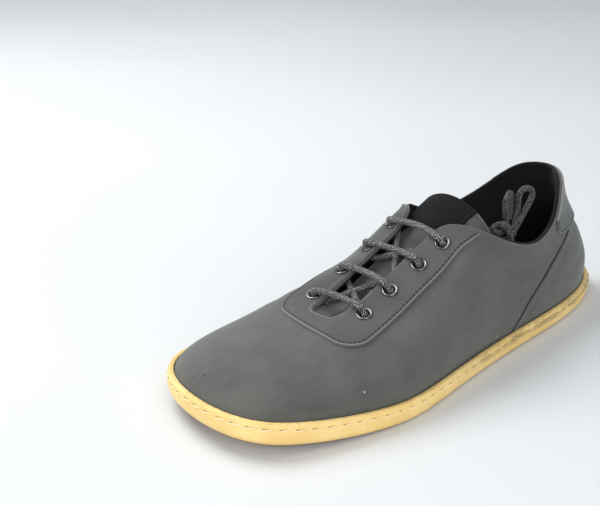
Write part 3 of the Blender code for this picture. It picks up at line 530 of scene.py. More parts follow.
# Top face of the tongue: station along it, share across from inner to outer side
def tongue_face(stations, across, drop):
    rows = np.array(TONGUE)
    row = open_curve(rows, np.asarray(stations, float))
    side = np.asarray(across, float)
    y = HALF_LENGTH - row[:, 0] * LENGTH
    crown = row[:, 1] * HEEL_HEIGHT
    width = row[:, 2] * BALL_WIDTH
    fall = row[:, 3] * HEEL_HEIGHT
    bow = 1.0 - np.sqrt(1.0 - (TONGUE_BOW_SHARE * side) ** 2)
    x = side[None, :] * width[:, None] + TONGUE_SHIFT * BALL_WIDTH
    z = crown[:, None] - fall[:, None] * bow[None, :] / FULL_BOW
    spread = np.broadcast_to(y[:, None], x.shape)
    back = np.clip((np.asarray(stations) - (len(rows) - 2)), 0.0, 1.0)[:, None]
    y_end = spread + back * side[None, :] ** 2 * TONGUE_END_CURVE
    face = np.stack([x, y_end, z], -1)
    normal = unit(np.cross(np.gradient(face, axis=1), np.gradient(face, axis=0)))
    return face - normal * drop * np.sign(normal[..., 2:3])


# Nearest spot on the upper to a plan position, on the outer or inner side of the lace throat
def find_spot(x, y, first, last):
    low, high = at_section(first), at_section(last)
    bottom, top = 0.0, 1.0
    for _ in range(SEARCH_ROUNDS):
        around = np.linspace(low, high, SEARCH_STEPS)[:, None]
        up = np.linspace(bottom, top, SEARCH_STEPS)[None, :]
        spots = upper_face(around, up)
        miss = (spots[..., 0] - x) ** 2 + (spots[..., 1] - y) ** 2
        i, j = np.unravel_index(np.argmin(miss), miss.shape)
        span, climb = (high - low) / SEARCH_ZOOM, (top - bottom) / SEARCH_ZOOM
        low, high = around[i, 0] - span, around[i, 0] + span
        bottom, top = max(up[0, j] - climb, 0.0), min(up[0, j] + climb, 1.0)
    return around[i, 0], up[0, j]


# Centre on the upper and outward direction of every eyelet, toe end first
def eyelet_spots():
    spots = []
    for side, first, last in ((1, 9.0, 15.0), (-1, 17.0, 23.0)):
        for row in EYELETS:
            share, spread = row[:2] if side > 0 else row[2:]
            around, up = find_spot(*plan_spot(side * spread, share), first, last)
            spots.append((upper_face(around, up), upper_normal(around, up)))
    return spots


EYELET_SPOTS = eyelet_spots()


# Two directions in the plane that a normal stands on
def frame_of(normal):
    along = unit(np.cross(np.array([0.0, 1.0, 0.0]), normal))
    return along, np.cross(normal, along)


# Coil of the knot round the two strands where they run side by side
def knot_route():
    outer, inner = placed(LOOP_OUTER), placed(LOOP_INNER)
    first, last = KNOT_STATION, KNOT_STATION + 1
    start = (outer[first] + inner[first]) * HALF
    end = (outer[last] + inner[last]) * HALF
    axis = unit(end - start)
    wide = outer[last] + outer[first] - inner[last] - inner[first]
    wide = unit(wide - axis * np.dot(wide, axis))
    high = np.cross(axis, wide)
    share = np.linspace(-HALF, HALF, KNOT_POINTS)
    angle = 2.0 * math.pi * KNOT_TURNS * share
    middle = (start + end) * HALF
    return (middle + axis * (share * KNOT_RUN)[:, None] + wide * (KNOT_WIDE * np.cos(angle))[:, None]
            + high * (KNOT_HIGH * np.sin(angle))[:, None])


# Camera, in degrees and metres, solved from the photo
CAMERA_TURN = 48.823
CAMERA_RISE = 22.225
CAMERA_DISTANCE = 0.600
CAMERA_LENS = 61.988
CAMERA_SENSOR = 36.0
CAMERA_TARGET = (-0.081032, -0.008507, 0.0300)
CAMERA_NEAR = 0.01

# Lamps. Columns: name, place, spot that it faces, width, power in watts, colour.
LAMPS = [
    ("key", (-0.80, -0.20, 1.10), (0.0, -0.03, 0.03), 0.9, 13.5, (1.0, 0.995, 0.98)),
    ("front", (-0.45, -1.25, 0.42), (0.0, -0.05, 0.03), 0.8, 4.0, (0.96, 0.98, 1.0)),
    ("fill", (1.05, -0.65, 0.62), (0.0, 0.0, 0.03), 1.1, 9.0, (1.0, 0.995, 0.97)),
]
SKY_COLOUR = (0.93, 0.96, 1.0, 1.0)
SKY_STRENGTH = 0.50
FLOOR_REACH = 4.0
FLOOR_POINTS = 9
FLOOR_COLOURS = ((0.715, 0.732, 0.745), (0.745, 0.762, 0.775))

# Creases over the vamp. Columns: three plan spots as share of BALL_WIDTH across and share of LENGTH
# from the heel, then width and depth in metres.
VAMP_CREASES = [
    ((0.36, 0.735), (0.06, 0.800), (-0.34, 0.770), 0.0052, 0.00030),
    ((0.40, 0.770), (0.05, 0.835), (-0.38, 0.800), 0.0060, 0.00022),
    ((0.42, 0.665), (0.36, 0.700), (0.29, 0.725), 0.0040, 0.00026),
    ((-0.40, 0.690), (-0.35, 0.720), (-0.28, 0.745), 0.0040, 0.00026),
]

# Creases in the sides. Columns: three spots as section number and share of the way up, width, depth.
SIDE_CREASES = [
    ((5.0, 0.30), (7.6, 0.42), (10.6, 0.40), 0.0075, 0.00055),
    ((3.6, 0.78), (5.2, 0.70), (7.2, 0.66), 0.0045, 0.00042),
    ((1.0, 0.34), (2.0, 0.30), (3.2, 0.34), 0.0040, 0.00030),
    ((0.0, 0.62), (1.0, 0.58), (1.8, 0.60), 0.0036, 0.00024),
    ((11.6, 0.22), (12.3, 0.34), (12.9, 0.48), 0.0050, 0.00034),
    ((21.4, 0.40), (24.4, 0.42), (27.0, 0.30), 0.0075, 0.00050),
    ((25.0, 0.66), (27.0, 0.70), (28.6, 0.78), 0.0045, 0.00040),
    ((29.0, 0.34), (30.0, 0.30), (31.0, 0.34), 0.0040, 0.00030),
]
CREASE_SHOULDER = 0.45
CREASE_SPREAD = 1.7
CREASE_POINTS = 65

# Overlays on the upper: places of the grid lines in from the opening and in from the sewn edge,
# then the rounded edge, the lap into the upper, the low bead and the trough that the stitches lie in
NEAR_STEPS = np.array([0.0, 0.00008, 0.0002, 0.0004, 0.0007, 0.0011, 0.0016])
FAR_STEPS = np.array([0.0, 0.00008, 0.0002, 0.0004, 0.0006, 0.0009, 0.0012, 0.0015, 0.0018, 0.0021,
                      0.0024, 0.0027, 0.0030, 0.0034, 0.0040])
OVERLAY_STEPS = 60
OVERLAY_ROOM = 0.0005
OVERLAY_EDGE = 0.0005
OVERLAY_LAP = 0.0002
OVERLAY_FADE = 0.002
EDGE_SHARE = 0.02
BEAD_HEIGHT = 0.00003
BEAD_INSET = 0.0004
STITCH_INSET = 0.0013
STITCH_TROUGH = 0.00004

# Facing and heel tab: share of the opening's edge in the spacing of the facing's columns, and the grid
# lines across the middle of each
FACING_WEIGHT = 0.6
FACING_MIDDLE = 12
TAB_MIDDLE = 10

# Rim of the opening: points round it and its reach as a share of half the wall
RIM_POINTS = 7
RIM_REACH = 0.7

# Eyelets in the scene: wider bore, slimmer rim, and its rise above the facing
BORE_MARGIN = 0.0003
RIM_INSET = 0.00096
RIM_SEAT = 0.00012

# Sewn lines: sections left off at their ends, sections and inset of the throat's line
FACING_TRIM = 0.35
TAB_TRIM = (0.25, 0.12)
THROAT_SECTIONS = (13.2, 18.9)
THROAT_INSET = 0.0011
GROOVE_STANDOFF = 0.00020

# Label: ends and insets of its stitches, furrow, rounded edge, and how far it lies into the tongue
LABEL_TRIM = 0.1
LABEL_INSET = 0.05
SIDE_STEP = 0.01
LABEL_FURROW = 0.00018
LABEL_EDGE = 0.0006
LABEL_SINK = 0.0001

# Furrow round the tongue, and its place in from the edge
TONGUE_TROUGH = 0.00025
TONGUE_SEAM = 0.0026

# Rolled lining: first and last section, points, start of its direction, place in from the rim, section
COLLAR_SECTIONS = (24.4, 7.6)
COLLAR_POINTS = 420
COLLAR_TIP = 0.985
COLLAR_DEPTH = 0.95
COLLAR_LIFT = 0.0006
COLLAR_SIDES = 12
COLLAR_ROLL = (0.00115, 0.0009)

# Gusset between tongue and throat: last station, side where it ends, ramp, height, wall, rounded edge,
# points each way
GUSSET_END = 3.2
GUSSET_SIDE = -0.15
GUSSET_RAMP = 0.65
GUSSET_LIFT = 0.0031
GUSSET_WALL = 0.0004
GUSSET_EDGE = 0.0008
GUSSET_POINTS = (60, 50)

# Sole side: height of the stitches, extra height round the ball and where it starts from the heel
STITCH_HEIGHT = 0.735
BALL_RISE = 0.0015
BALL_RISE_START = 0.50
LIP_WAVE = 0.00008

# Tread blocks: eased edge, gap at the corners and cut of the corners as shares of a side
LUG_EASE = 0.0005
LUG_CORNER = 0.0009
LUG_CUT = (0.10, 0.02)

# Insole: rounded edge, dish, and shares of the way to the middle where its rings lie
FOOTBED_EDGE = 0.0010
FOOTBED_DISH = 0.0004
FOOTBED_RINGS = (0.12, 0.3, 0.5, 0.72)

# Routes steeper than this get their first sideways direction from the y axis
STEEP = 0.9

# Threads round the braided lace, their slant in radians per metre, and their relief
BRAID_STRANDS = 8
BRAID_TWIST = 3600.0
BRAID_RELIEF = 0.018

# Seam from the heel tab down to the sole on the outer side, as section number and share of the way up
COUNTER_SEAM = [
    (2.10, 0.640),
    (2.60, 0.648),
    (3.15, 0.640),
    (3.75, 0.582),
    (4.40, 0.447),
    (5.04, 0.262),
    (5.58, 0.104),
    (6.04, 0.004),
]


# Quads of a grid of points; either way round may be closed
def grid_quads(rows, columns, closed_rows=False, closed_columns=False):
    i = np.arange(rows if closed_rows else rows - 1)
    j = np.arange(columns if closed_columns else columns - 1)
    i, j = np.meshgrid(i, j, indexing="ij")
    below, beside = (i + 1) % rows, (j + 1) % columns
    quads = [i * columns + j, i * columns + beside, below * columns + beside, below * columns + j]
    return np.stack(quads, -1).reshape(-1, 4)


# Surface coordinates at the corners of the same quads
def grid_corners(u, v):
    i, j = np.meshgrid(np.arange(len(u) - 1), np.arange(len(v) - 1), indexing="ij")
    corners = [(u[i], v[j]), (u[i], v[j + 1]), (u[i + 1], v[j + 1]), (u[i + 1], v[j])]
    return np.stack([np.stack(pair, -1) for pair in corners], 2).reshape(-1, 2)


# Faces round a tube of loops of points, with one face at each end
def tube_faces(loops, count, start=0):
    faces = (grid_quads(loops, count, False, True) + start).tolist()
    faces.append([start + k for k in range(count)])
    faces.append([start + (loops - 1) * count + k for k in reversed(range(count))])
    return faces


def new_object(name, data):
    made = bpy.data.objects.new(name, data)
    bpy.context.scene.collection.objects.link(made)
    return made


# Smooth piece from points and faces; marks are values at the points that its finish reads
def make_piece(name, vertices, faces, materials, corners=None, marks=None):
    mesh = bpy.data.meshes.new(name)
    mesh.from_pydata(np.asarray(vertices, float).tolist(), [], [list(map(int, face)) for face in faces])
    for material in materials:
        mesh.materials.append(material)
    if corners is not None:
        layer = mesh.uv_layers.new(name="surface")
        full = np.zeros((len(mesh.loops), 2), np.float32)
        full[:len(corners)] = corners
        layer.data.foreach_set("uv", full.ravel())
    for label, values in (marks or {}).items():
        attribute = mesh.attributes.new(label, "FLOAT", "POINT")
        attribute.data.foreach_set("value", np.asarray(values, np.float32).ravel())
    work = bmesh.new()
    work.from_mesh(mesh)
    bmesh.ops.recalc_face_normals(work, faces=work.faces)
    work.to_mesh(mesh)
    work.free()
    mesh.polygons.foreach_set("use_smooth", np.ones(len(mesh.polygons), bool))
    return new_object(name, mesh)


# Closed plate between an outer and an inner grid of points
def make_plate(name, outside, inside, materials, marks=None, spread=None):
    rows, columns = outside.shape[:2]
    shift = rows * columns
    quads = grid_quads(rows, columns)
    rim = list(range(columns - 1))
    rim += [i * columns + columns - 1 for i in range(rows - 1)]
    rim += [(rows - 1) * columns + j for j in range(columns - 1, 0, -1)]
    rim += [i * columns for i in range(rows - 1, 0, -1)]
    rim = np.array(rim)
    after = np.roll(rim, -1)
    walls = np.stack([rim, rim + shift, after + shift, after], -1)
    faces = np.concatenate([quads, quads[:, ::-1] + shift, walls])
    vertices = np.concatenate([outside.reshape(-1, 3), inside.reshape(-1, 3)])
    both = {label: np.concatenate([values.ravel()] * 2) for label, values in (marks or {}).items()}
    corners = None
    if spread is not None:
        corners = grid_corners(*spread)
        corners = np.concatenate([corners, corners.reshape(-1, 4, 2)[:, ::-1].reshape(-1, 2)])
    return make_piece(name, vertices, faces, materials, corners, both)


# Run along a route and directions square to it that don't twist
def route_frames(route, lifts=None):
    tangents = unit(np.gradient(route, axis=0))
    if lifts is None:
        lifts = np.zeros_like(route)
        lift = UP if abs(tangents[0][2]) <= STEEP else np.array([0.0, 1.0, 0.0])
        for k, tangent in enumerate(tangents):
            lift = unit(lift - tangent * np.dot(lift, tangent))
            lifts[k] = lift
    lifts = unit(lifts - tangents * np.sum(lifts * tangents, axis=1, keepdims=True))
    return run_along(route), np.cross(lifts, tangents), lifts


# Closed section swept along a route; the section holds pairs of side and height
def sweep(name, route, section, materials, lifts=None, closed=False, marks=None):
    run, sides, lifts = route_frames(route, lifts)
    section = np.asarray(section, float)
    if section.ndim == 2:
        section = np.broadcast_to(section, (len(route),) + section.shape)
    count = section.shape[1]
    spots = (route[:, None] + sides[:, None] * section[..., :1] + lifts[:, None] * section[..., 1:])
    faces = grid_quads(len(route), count, True, True) if closed else tube_faces(len(route), count)
    u = np.append(run, run[-1]) if closed else run
    corners = grid_corners(u, np.linspace(0.0, 1.0, count + 1))
    return make_piece(name, spots.reshape(-1, 3), faces, materials, corners, marks)


# Puts a piece on the one body and hides the solids that it stands in for
def dress(piece, slot, *nodes):
    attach(piece, "root")
    if nodes:
        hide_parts(*nodes)
    return piece


# Rounding of an edge: 0 at the edge, 1 past the radius
def edge_round(distance, radius):
    inside = np.clip(distance / radius, 0.0, 1.0)
    return np.sqrt(1.0 - (1.0 - inside) ** 2)


# Swell of height 1 at a distance, and next to nothing two widths away
def hump(distance, centre, width):
    return np.exp(-((distance - centre) / width) ** 2)


def smooth_step(share):
    return share * share * (3.0 - 2.0 * share)


def shade(colour, share):
    return tuple(part * share for part in colour)


# Gives a socket a value, or links it to the socket that is given
def feed(tree, socket, value):
    if isinstance(value, bpy.types.NodeSocket):
        tree.links.new(value, socket)
    else:
        socket.default_value = value


def add_node(tree, kind, values=None, **settings):
    made = tree.nodes.new(kind)
    for label, value in settings.items():
        setattr(made, label, value)
    for label, value in (values or {}).items():
        feed(tree, made.inputs[label], value)
    return made


# Material under construction: nodes are added and linked by their socket labels
class Finish:
    def __init__(self, name, **uniform):
        self.material = bpy.data.materials.new(name)
        self.material.use_nodes = True
        self.tree = self.material.node_tree
        self.shader = self.tree.nodes["Principled BSDF"]
        for label, value in uniform.items():
            self.shader.inputs[label.replace("_", " ")].default_value = value
        self.spots = self.node("ShaderNodeTexCoord").outputs["Object"]

    def node(self, kind, values=None, **settings):
        return add_node(self.tree, kind, values, **settings)

    def surface(self):
        return self.node("ShaderNodeUVMap", uv_map="surface").outputs["UV"]

    def noise(self, scale, detail=2.0, rough=0.5, vector=None):
        values = {"Vector": vector or self.spots, "Scale": scale, "Detail": detail, "Roughness": rough}
        return self.node("ShaderNodeTexNoise", values).outputs["Fac"]

    # Noise with its own scale along each axis
    def streaks(self, scales, detail, rough, vector=None):
        drawn = self.node("ShaderNodeMapping", {"Vector": vector or self.spots, "Scale": scales})
        return self.noise(1.0, detail, rough, drawn.outputs[0])

    def cells(self, scale):
        return self.node("ShaderNodeTexVoronoi", {"Vector": self.spots, "Scale": scale}).outputs["Distance"]

    def waves(self, vector, scale, direction):
        values = {"Vector": vector, "Scale": scale, "Distortion": 0.0}
        return self.node("ShaderNodeTexWave", values, bands_direction=direction).outputs["Fac"]

    # Slanted threads of a round braid; the surface runs in metres along it and once round it
    def plait(self, side):
        along, round_it, _ = self.node("ShaderNodeSeparateXYZ", {"Vector": self.surface()}).outputs
        turn = self.maths("MULTIPLY", round_it, 2.0 * math.pi * BRAID_STRANDS * side)
        run = self.maths("MULTIPLY", along, BRAID_TWIST)
        wave = self.maths("SINE", self.maths("ADD", turn, run))
        return self.maths("ADD", self.maths("MULTIPLY", wave, HALF), HALF)

    # Smooth change from start to end as a value goes from low to high
    def band(self, value, low, high, start=0.0, end=1.0):
        values = {"Value": value, "From Min": low, "From Max": high, "To Min": start, "To Max": end}
        return self.node("ShaderNodeMapRange", values, interpolation_type="SMOOTHSTEP").outputs["Result"]

    def maths(self, operation, first, second=0.0):
        return self.node("ShaderNodeMath", {0: first, 1: second}, operation=operation).outputs[0]

    def times(self, first, second):
        return self.maths("MULTIPLY", first, second)

    def blend(self, factor, first, second):
        values = {0: factor}
        for number, value in ((6, first), (7, second)):
            values[number] = (*value, 1.0) if isinstance(value, tuple) else value
        return self.node("ShaderNodeMix", values, data_type="RGBA", blend_type="MIX").outputs[2]

    def mark(self, label):
        return self.node("ShaderNodeAttribute", attribute_name=label).outputs["Fac"]

    def lengthwise(self):
        return self.node("ShaderNodeSeparateXYZ", {"Vector": self.spots}).outputs["Y"]

    def near(self, spot, radius):
        gap = self.node("ShaderNodeVectorMath", {0: self.spots, 1: spot}, operation="DISTANCE")
        return self.band(gap.outputs["Value"], radius * SPECK_CORE, radius, 1.0, 0.0)

    def relief(self, height, strength, depth, under=None):
        values = {"Height": height, "Strength": strength, "Distance": depth}
        if under is not None:
            values["Normal"] = under
        return self.node("ShaderNodeBump", values).outputs["Normal"]

    def wire(self, label, socket):
        self.tree.links.new(socket, self.shader.inputs[label])

    def done(self, colour, normal):
        self.wire("Base Color", colour)
        self.wire("Normal", normal)
        return self.material


# Lint and a dark nick seen on the leather: place, radius, colour
SPECKS = [
    ((0.0469, -0.0814, 0.0206), 0.0007, (0.40, 0.40, 0.37)),
    ((-0.0087, -0.1308, 0.0242), 0.0008, (0.02, 0.02, 0.02)),
    ((0.0419, 0.0205, 0.0127), 0.0008, (0.30, 0.30, 0.26)),
]
SPECK_CORE = 0.6

# Place along the shoe from which its gum side is dirty, up to the heel
WAIST = -0.030


# Brushed leather with soft clouding and fine nap; lighter where the wear mark is set, partly rubbing and
# partly painted highlight, and darker where the gloom mark is set
def nubuck(name, colour, wear_and_highlight_colour, smudged=False):
    finish = Finish(name, Roughness=0.88, Sheen_Weight=0.34, Sheen_Roughness=0.42,
                    Sheen_Tint=(0.88, 0.94, 0.96, 1.0), Specular_IOR_Level=0.28)
    cloud = finish.noise(42.0, 3.0, 0.55)
    streak = finish.streaks((330.0, 90.0, 260.0), 3.0, 0.6)
    nap = finish.noise(2400.0, 2.0, 0.7)
    dark, light = shade(colour, 0.86), shade(colour, 1.16)
    tone = finish.blend(finish.band(cloud, 0.30, 0.72), dark, light)
    tone = finish.blend(finish.band(streak, 0.40, 0.70, 0.0, 0.55), tone, light)
    tone = finish.blend(finish.band(nap, 0.30, 0.75, 0.0, 0.30), tone, dark)
    wear_and_highlight_patches = finish.band(finish.noise(900.0), 0.2, 0.7, 0.75, 1.0)
    # Lighter edges: partly rubbing, partly painted highlight
    tone = finish.blend(finish.times(finish.mark("wear"), wear_and_highlight_patches), tone, wear_and_highlight_colour)
    # Painted shade in stitch troughs, furrows, seams and at the foot of the upper
    tone = finish.blend(finish.mark("gloom"), tone, shade(colour, 0.25))
    for spot, radius, paint in SPECKS if smudged else []:
        tone = finish.blend(finish.near(spot, radius), tone, paint)
    pores = finish.relief(finish.cells(1500.0), 0.10, 0.00015)
    fur = finish.relief(finish.noise(3400.0, 2.0, 0.75), 0.30, 0.00012, pores)
    return finish.done(tone, finish.relief(finish.noise(150.0, 3.0, 0.55), 0.22, 0.00045, fur))


# Pale gum rubber with clouding, glue smudges along the top from the waist to the heel, and dark red-brown
# towards the bottom edge and on the tread blocks
def gum_rubber():
    finish = Finish("gum_rubber_side", Roughness=0.50, Specular_IOR_Level=0.42, Subsurface_Weight=0.10,
                    Subsurface_Radius=(0.9, 0.5, 0.15), Subsurface_Scale=0.002)
    rise = finish.mark("rise")
    cloud = finish.noise(60.0, 3.0, 0.5)
    tone = finish.blend(finish.band(cloud, 0.3, 0.7), (0.86, 0.60, 0.215), (0.93, 0.69, 0.29))
    grime = finish.band(finish.streaks((110.0, 75.0, 300.0), 4.0, 0.6), 0.36, 0.62, 0.15, 1.0)
    back = finish.band(finish.lengthwise(), WAIST, 0.010)
    high = finish.times(finish.band(rise, 0.50, 0.66), finish.band(rise, 1.04, 0.93))
    smudge = finish.times(finish.times(back, high), grime)
    tone = finish.blend(finish.times(smudge, 0.72), tone, (0.27, 0.21, 0.095))
    glue = finish.band(finish.noise(420.0, 3.0, 0.6), 0.52, 0.70, 0.0, 0.35)
    tone = finish.blend(finish.times(finish.band(rise, 0.90, 1.0), glue), tone, (0.32, 0.22, 0.08))
    # Dark red-brown on the lowest part of the side and on the tread blocks, whose height mark is 0
    tone = finish.blend(finish.band(rise, 0.11, 0.02), tone, (0.20, 0.055, 0.02))
    finish.wire("Roughness", finish.band(cloud, 0.25, 0.75, 0.42, 0.58))
    grain = finish.relief(finish.noise(1300.0, 2.0, 0.6), 0.12, 0.00015)
    swell = finish.streaks((210.0, 210.0, 700.0), 2.0, 0.5)
    return finish.done(tone, finish.relief(swell, 0.30, 0.0004, grain))


# Round waxed braid, darker in the gaps between its threads as painted shade, with pale specks on the thread
# crests that are partly the yarn's own and partly painted highlight
def braid(name, dark, light, fleck_and_highlight_tone):
    finish = Finish(name, Roughness=0.58, Specular_IOR_Level=0.30, Sheen_Weight=0.05, Sheen_Roughness=0.5)
    one, two = [finish.plait(side) for side in (1.0, -1.0)]
    strand = finish.maths("MAXIMUM", one, two)
    speck = finish.streaks((1250.0, 15.0, 1.0), 2.0, 0.7, finish.surface())
    # Darker in the gaps between the threads: painted shade
    tone = finish.blend(finish.band(strand, 0.55, 1.0), dark, light)
    # Pale specks on the thread crests: partly the yarn's own, partly painted highlight
    flecks_and_highlights = finish.times(finish.band(speck, 0.50, 0.58), finish.band(strand, 0.60, 0.90))
    tone = finish.blend(finish.times(flecks_and_highlights, 0.90), tone, fleck_and_highlight_tone)
    return finish.done(tone, finish.relief(strand, 0.55, 0.00025))


# Metal with a dark plated face and fine brushing
def gunmetal():
    finish = Finish("eyelet_gunmetal", Metallic=1.0)
    rub = finish.noise(260.0, 3.0, 0.6)
    tone = finish.blend(finish.band(rub, 0.35, 0.75), (0.17, 0.17, 0.175), (0.20, 0.20, 0.205))
    finish.wire("Roughness", finish.band(rub, 0.2, 0.8, 0.13, 0.17))
    return finish.done(tone, finish.relief(finish.noise(500.0, 2.0, 0.6), 0.02, 0.0001))


# Black cloth with lint, woven where a scale is given for its threads
def cloth(name, colour, fuzz, weave_scale, sheen):
    finish = Finish(name, Roughness=0.95, Sheen_Weight=sheen, Sheen_Roughness=0.55, Specular_IOR_Level=0.15)
    lint = finish.noise(1900.0, 3.0, 0.7)
    tone = finish.blend(finish.band(lint, 0.42, 0.75), colour, fuzz)
    tone = finish.blend(finish.band(finish.noise(70.0), 0.35, 0.7, 0.0, 0.4), tone, shade(colour, 0.6))
    bumps = finish.relief(finish.noise(2600.0, 3.0, 0.7), 0.6, 0.0003)
    if weave_scale:
        warp, weft = [finish.waves(finish.surface(), weave_scale, direction) for direction in "XY"]
        bumps = finish.relief(finish.times(warp, weft), 0.8, 0.0002, bumps)
    return finish.done(tone, bumps)


# Twisted sewing thread; a smudged one is dirty from the waist to the heel
def thread(name, colour, light, smudge=None):
    finish = Finish(name, Roughness=0.62, Specular_IOR_Level=0.35, Sheen_Weight=0.15)
    twist = finish.noise(2600.0, 2.0, 0.6)
    tone = finish.blend(finish.band(twist, 0.35, 0.7), colour, light)
    if smudge:
        tone = finish.blend(finish.band(finish.lengthwise(), WAIST, 0.005, 0.0, 0.85), tone, smudge)
    return finish.done(tone, finish.relief(twist, 0.5, 0.0002))


def floor_finish():
    finish = Finish("pale_floor", Roughness=0.80, Specular_IOR_Level=0.20)
    tone = finish.blend(finish.band(finish.noise(2.5, 2.0, 0.5), 0.3, 0.7), *FLOOR_COLOURS)
    return finish.done(tone, finish.relief(finish.noise(60.0), 0.02, 0.001))


# Lines of all the creases on the upper, with their width and depth
def crease_lines():
    lines = []
    steps = np.linspace(0.0, 2.0, CREASE_POINTS)
    for *plan, width, depth in VAMP_CREASES:
        spots = [find_spot(*plan_spot(x, y), 9.0, 23.0) for x, y in plan]
        around = open_curve(np.array(spots), steps)
        lines.append((upper_face(around[:, 0], np.clip(around[:, 1], 0.0, 1.0)), width, depth))
    for *spots, width, depth in SIDE_CREASES:
        path = open_curve(np.array(spots), steps)
        lines.append((upper_face(at_section(path[:, 0]), path[:, 1]), width, depth))
    return lines


CREASE_LINES = crease_lines()


# Height of the creases at points of the upper: a trough with low shoulders
def crease_height(spots):
    height = np.zeros(spots.shape[:-1])
    for line, width, depth in CREASE_LINES:
        gaps = np.linalg.norm(spots[..., None, :] - line, axis=-1)
        nearest = np.argmin(gaps, axis=-1)
        gap = np.take_along_axis(gaps, nearest[..., None], -1)[..., 0] / width
        fade = 1.0 - (2.0 * nearest / (len(line) - 1) - 1.0) ** 4
        height -= depth * fade * (np.exp(-gap ** 2) - CREASE_SHOULDER * hump(gap, CREASE_SPREAD, 1.0))
    return height


# Outer skin of the upper with its creases, and layers above or below it
def skin(around, up, distance=0.0):
    spots = upper_face(around, up)
    rise = distance + crease_height(spots)
    return spots + upper_normal(around, up) * rise[..., None]


# Running values between two section numbers, evenly spaced along the opening edge and the sole
def spread_columns(first, last, count, weight=EDGE_WEIGHT):
    dense = np.linspace(first, last, 4 * FINE_STEPS)
    top, foot = [np.linalg.norm(np.diff(upper_face(dense, up), axis=0), axis=1) for up in (1.0, 0.0)]
    run = np.concatenate([[0.0], np.cumsum(np.maximum(top * weight, foot))])
    return np.interp(np.linspace(0.0, run[-1], count), run, dense)


# Round pins that cut the eyelet holes
def build_hole_pins():
    vertices, faces = [], []
    radius = EYELET_BORE * HALF + EYELET_WALL + BORE_MARGIN
    turn = np.linspace(0.0, 2.0 * math.pi, HOLE_SIDES, endpoint=False)[:, None]
    for spot, normal in EYELET_SPOTS:
        first, second = frame_of(normal)
        faces += tube_faces(2, HOLE_SIDES, len(vertices))
        for height in (-PIN_REACH, PIN_REACH):
            loop = spot + normal * height + (first * np.cos(turn) + second * np.sin(turn)) * radius
            vertices += list(loop)
    return make_piece("hole_pins", vertices, faces, [])


# Mesh of a piece with its modifiers worked in
def baked(piece):
    bpy.context.view_layer.update()
    graph = bpy.context.evaluated_depsgraph_get()
    mesh = bpy.data.meshes.new_from_object(piece.evaluated_get(graph), depsgraph=graph)
    piece.modifiers.clear()
    return mesh


def cut_holes(piece, pins):
    step = piece.modifiers.new("holes", "BOOLEAN")
    step.operation = "DIFFERENCE"
    step.solver = "EXACT"
    step.object = pins
    piece.data = baked(piece)
    piece.data.name = piece.name
    return piece


# Hollow shell of the upper: tucked into the sole, up the outside, over the rim and down the lining
def build_upper_skin(nubuck_finish, lining_finish):
    around = spread_columns(0.0, SECTION_TOTAL, SKIN_COLUMNS + 1)[:-1]
    tuck = SOLE_WALL - SOLE_FLOOR - FIT_GAP
    outer = skin(around[None, :], np.linspace(0.0, 1.0, SKIN_RINGS)[:, None])
    low = np.stack([outer[0] - UP * tuck * share for share in (1.0, HALF)])
    tip = unit(outer[-1] - outer[-2])
    normal = upper_normal(around, 1.0)
    half = UPPER_WALL * HALF
    turn = np.linspace(0.0, math.pi, RIM_POINTS)[1:-1]
    rim = np.stack([outer[-1] - normal * half * (1.0 - math.cos(a)) + tip * half * RIM_REACH * math.sin(a)
                    for a in turn])
    inner = skin(around[None, :], np.linspace(1.0, 0.0, LINING_RINGS)[:, None], -UPPER_WALL)
    foot = np.column_stack([inner[-1][:, :2], (outer[0] - UP * tuck)[:, 2]])[None]
    grid = np.concatenate([low, outer, rim, inner, foot])
    rows, columns = grid.shape[:2]
    faces = grid_quads(rows, columns, True, True)
    outside = len(low) + len(outer)
    wear, gloom = np.zeros((2, rows, columns))
    # A little lighter along the rim by the wear mark; painted shade at the foot, where the upper meets the
    # sole
    wear[outside - 1:outside + 2] = 0.2
    gloom[:len(low) + 2] = np.array([1.0, 1.0, 0.8, 0.4])[:, None]
    piece = make_piece("upper_skin", grid.reshape(-1, 3), faces, [nubuck_finish, lining_finish], None,
                       {"wear": wear, "gloom": gloom})
    inside = (faces[:, 0] // columns >= outside + 2) | (faces[:, 0] // columns == rows - 1)
    order = np.zeros(len(piece.data.polygons), np.int32)
    order[:len(faces)] = inside
    piece.data.polygons.foreach_set("material_index", order)
    return piece


# Distances across an overlay for every row, close together at both edges
def edge_steps(width, first, last, middle):
    inner = width[:, None] - last[None, ::-1]
    start, stop = first[-1], inner[:, :1]
    between = np.linspace(0.0, 1.0, middle + 2)[1:-1]
    return np.concatenate([np.broadcast_to(first, (len(width), len(first))),
                           start + (stop - start) * between, inner], axis=1)


# Grid of an overlay whose edge runs from the opening down to a given share of the upper
def overlay_surface(around, reach, middle):
    shares = 1.0 - (1.0 - reach[:, None]) * np.linspace(0.0, 1.0, OVERLAY_STEPS)[None, :]
    run = runs_across(upper_face(around[:, None], shares))
    wide = np.maximum(run[:, -1], NEAR_STEPS[-1] + FAR_STEPS[-1] + OVERLAY_ROOM)
    steps = edge_steps(wide, NEAR_STEPS, FAR_STEPS, middle)
    scaled = steps * (run[:, -1] / wide)[:, None]
    grid = np.array([np.interp(row, way, share) for row, way, share in zip(scaled, run, shares)])
    return grid, scaled, run[:, -1:] - scaled


